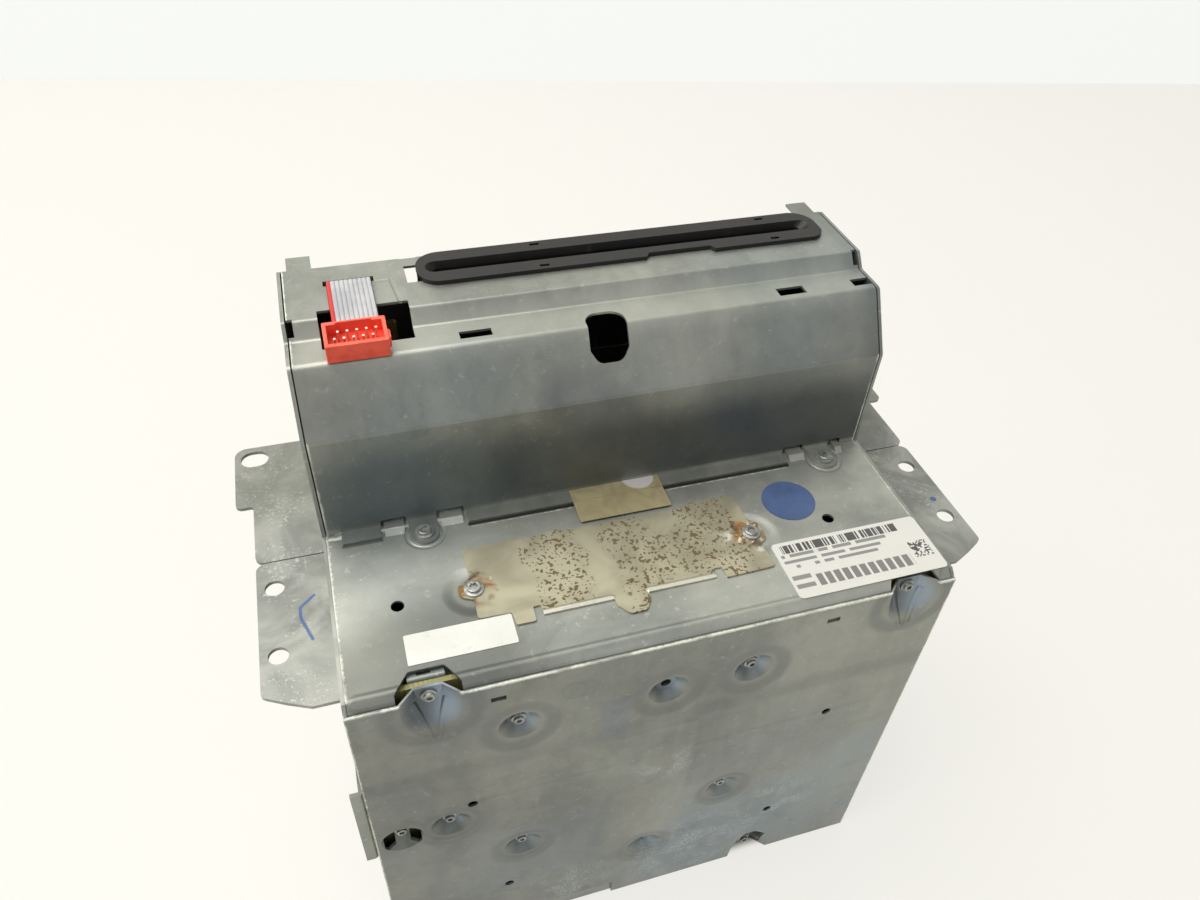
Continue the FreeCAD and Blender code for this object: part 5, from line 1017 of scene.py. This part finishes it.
class PLAYER_OT_boards(bpy.types.Operator):
    """Circuit boards with tracks and pads"""

    bl_idname = "player.boards"
    bl_label = "Circuit boards"

    def execute(self, context):
        dress(board_finish("board_green", (138, 134, 84), (158, 152, 100)), "main_board")
        dress(board_finish("board_tan", (150, 124, 74), (176, 148, 92)),
              "interface_board", "drive_board")
        return {"FINISHED"}


class PLAYER_OT_screws(bpy.types.Operator):
    """Flange screws with a six-lobed drive, in place of the plain ones"""

    bl_idname = "player.screws"
    bl_label = "Screws"

    def execute(self, context):
        wide = self.lobed_screw(context.scene.player_sizes)
        small = Matrix.Diagonal((2.2 / 2.9, 2.2 / 2.9, 0.9, 1))
        forward = Matrix.Rotation(math.radians(90), 4, "X")
        for node in ("tab_screws", "clamp_screws", "cover_screws"):
            for index, (low, high) in enumerate(islands(node)):
                middle = (low + high) / 2
                place = Vector((middle.x, middle.y, high.z - 1.7 * MM))
                turn = None
                if node == "cover_screws":
                    place = Vector((middle.x, low.y + 1.5 * MM, middle.z))
                    turn = forward @ Matrix.Rotation(math.radians(17 * index), 4, "Z") @ small
                piece = copied(wide, f"{node[:-1]}_{index + 1}", place, turn)
                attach(piece, "case")
                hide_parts(node)
        bpy.data.objects.remove(wide)
        return {"FINISHED"}

    def lobed_screw(self, sizes):
        """Washer face, round head with a chamfer, six-lobed drive and shank, along Z."""
        piece = begin("screw_master", bpy.ops.mesh.primitive_cylinder_add, vertices=24,
                      radius=2.9 * MM, depth=0.5 * MM, location=(0, 0, 0.25 * MM))
        choose(piece, "FACE", lambda spot, way: way.z > 0.9)
        bpy.ops.mesh.inset(thickness=0.85 * MM, depth=0.15 * MM)
        pull(sizes.head_height)
        bpy.ops.mesh.inset(thickness=0.25 * MM, depth=0.15 * MM)
        bpy.ops.mesh.inset(thickness=0.5 * MM, depth=0)
        top = 0.8 * MM + sizes.head_height

        def lobed(spot, steps):
            if abs(spot.z - top) > 0.02 * MM or math.hypot(spot.x, spot.y) > 1.4 * MM:
                return False
            return round(math.degrees(math.atan2(spot.y, spot.x)) / 15) % 4 in steps

        for steps, share in (((2,), 0.72), ((1, 3), 0.88)):
            choose(piece, "VERT", lambda spot: lobed(spot, steps))
            bpy.ops.transform.resize(value=(share, share, 1), center_override=(0, 0, top))
        choose(piece, "FACE",
               lambda spot, way: way.z > 0.9 and math.hypot(spot.x, spot.y) < 0.1 * MM)
        pull(-sizes.socket_depth)
        choose(piece, "FACE", lambda spot, way: way.z < -0.9)
        bpy.ops.mesh.inset(thickness=1.4 * MM, depth=0)
        pull(-5.0 * MM)
        settle(piece, "case", steel_finish(), 30)
        return piece


class PLAYER_OT_contacts(bpy.types.Operator):
    """Blades in the power block and centre pins in the coaxial sockets"""

    bl_idname = "player.contacts"
    bl_label = "Contacts"

    def execute(self, context):
        tin = bare_metal("contact_tin", (206, 204, 196), (176, 174, 166), 0.26, metallic=1.0)
        blade = begin("blade_master", bpy.ops.mesh.primitive_cube_add, size=1, location=(0, 0, 0))
        bpy.ops.mesh.select_all(action="SELECT")
        bpy.ops.transform.resize(value=mm(1.6, 0.8, 6.0))
        choose(blade, "FACE", lambda spot, way: way.z < -0.9)
        pull(-0.9 * MM)
        bpy.ops.transform.resize(value=(0.55, 0.4, 1))
        choose(blade, "EDGE", lambda a, b: abs(a.x - b.x) + abs(a.y - b.y) < 0.05 * MM)
        bpy.ops.mesh.bevel(offset=0.12 * MM, segments=2)
        settle(blade, "case", tin)
        low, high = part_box("power_connector")
        blades = [(low.x + (4.2 + 21.6 * well + 3.5 * column) * MM,
                   low.y + (5.6 + 7.8 * row) * MM, 9.4 * MM)
                  for well in range(2) for row in range(2) for column in range(5)]
        pin = begin("coax_master", bpy.ops.mesh.primitive_cylinder_add, vertices=24,
                    radius=3.3 * MM, depth=1.0 * MM, location=(0, 0, 0))
        choose(pin, "FACE", lambda spot, way: way.z < -0.9)
        bpy.ops.mesh.inset(thickness=0.5 * MM, depth=-0.3 * MM)
        bpy.ops.mesh.inset(thickness=2.2 * MM, depth=0.3 * MM)
        pull(-3.6 * MM)
        bpy.ops.mesh.inset(thickness=0.15 * MM, depth=0.3 * MM)
        settle(pin, "case", tin)
        low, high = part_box("coax_sockets")
        pins = [(low.x + (5.0 + 12.0 * index) * MM, low.y + 5.3 * MM, 8.9 * MM)
                for index in range(4)]
        for master, label, places in ((blade, "power_blade", blades), (pin, "coax_pin", pins)):
            for index, place in enumerate(places):
                piece = copied(master, f"{label}_{index + 1}", place)
                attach(piece, "case")
            bpy.data.objects.remove(master)
        return {"FINISHED"}


class PLAYER_OT_lead_thread(bpy.types.Operator):
    """Rolled thread of the sled's lead screw, on the plain rod"""

    bl_idname = "player.lead_thread"
    bl_label = "Lead screw thread"

    def execute(self, context):
        lead = context.scene.player_sizes.thread_lead
        low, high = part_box("lead_screw")
        middle = (low + high) / 2
        piece = begin("lead_thread", bpy.ops.mesh.primitive_circle_add, vertices=3,
                      radius=1.0 * MM, location=(0, 0, 0))
        bpy.ops.mesh.select_all(action="SELECT")
        bpy.ops.mesh.delete(type="VERT")
        bpy.ops.object.mode_set(mode="OBJECT")
        steps = [(1.15, 0.0), (1.48, 0.25), (1.48, 0.55), (1.15, 0.8), (1.15, 1.0)]
        spots = [(radius * MM, 0, share * lead) for radius, share in steps]
        edges = [(index, index + 1) for index in range(len(spots) - 1)]
        piece.data.from_pydata(spots, edges, [])
        screw = piece.modifiers.new("thread", "SCREW")
        screw.axis = "Z"
        screw.angle = math.radians(360)
        screw.screw_offset = lead
        screw.iterations = int((high.z - low.z) / lead) - 1
        screw.steps = 14
        screw.render_steps = 14
        screw.use_merge_vertices = True
        screw.merge_threshold = 0.01 * MM
        bpy.ops.object.modifier_apply(modifier="thread")
        piece.location = (middle.x, middle.y, low.z + 0.5 * lead)
        bpy.ops.object.mode_set(mode="EDIT")
        bpy.ops.mesh.select_all(action="SELECT")
        bpy.ops.mesh.remove_doubles(threshold=0.01 * MM)
        bpy.ops.mesh.normals_make_consistent(inside=False)
        rod = bare_metal("thread_steel", (206, 208, 212), (178, 180, 186), 0.2, (1, 1, 0.1))
        settle(piece, "lead_screw", rod)
        return {"FINISHED"}


# Panel and registration ---


class PLAYER_PT_panel(bpy.types.Panel):
    """Lists the steps that dress the player"""

    bl_idname = "PLAYER_PT_panel"
    bl_label = "Disc player"
    bl_space_type = "VIEW_3D"
    bl_region_type = "UI"
    bl_category = "Disc player"

    def draw(self, context):
        column = self.layout.column()
        for step in STEPS:
            column.operator(step.bl_idname)
        for group in (context.scene.player_sizes, context.scene.player_colours):
            for label in group.__annotations__:
                column.prop(group, label)


STEPS = (
    PLAYER_OT_stage,
    PLAYER_OT_ribbon,
    PLAYER_OT_sheet_metal,
    PLAYER_OT_mouldings,
    PLAYER_OT_metals,
    PLAYER_OT_papers,
    PLAYER_OT_boards,
    PLAYER_OT_screws,
    PLAYER_OT_contacts,
    PLAYER_OT_lead_thread,
)
CLASSES = (PlayerSizes, PlayerColours, *STEPS, PLAYER_PT_panel)


def register():
    for item in CLASSES:
        bpy.utils.register_class(item)
    bpy.types.Scene.player_sizes = PointerProperty(type=PlayerSizes)
    bpy.types.Scene.player_colours = PointerProperty(type=PlayerColours)


def unregister():
    del bpy.types.Scene.player_sizes
    del bpy.types.Scene.player_colours
    for item in reversed(CLASSES):
        bpy.utils.unregister_class(item)


def main():
    register()
    bpy.ops.player.stage()
    bpy.ops.player.ribbon()
    bpy.ops.player.sheet_metal()
    bpy.ops.player.mouldings()
    bpy.ops.player.metals()
    bpy.ops.player.papers()
    bpy.ops.player.boards()
    bpy.ops.player.screws()
    bpy.ops.player.contacts()
    bpy.ops.player.lead_thread()
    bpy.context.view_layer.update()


if __name__ == "__main__":
    main()
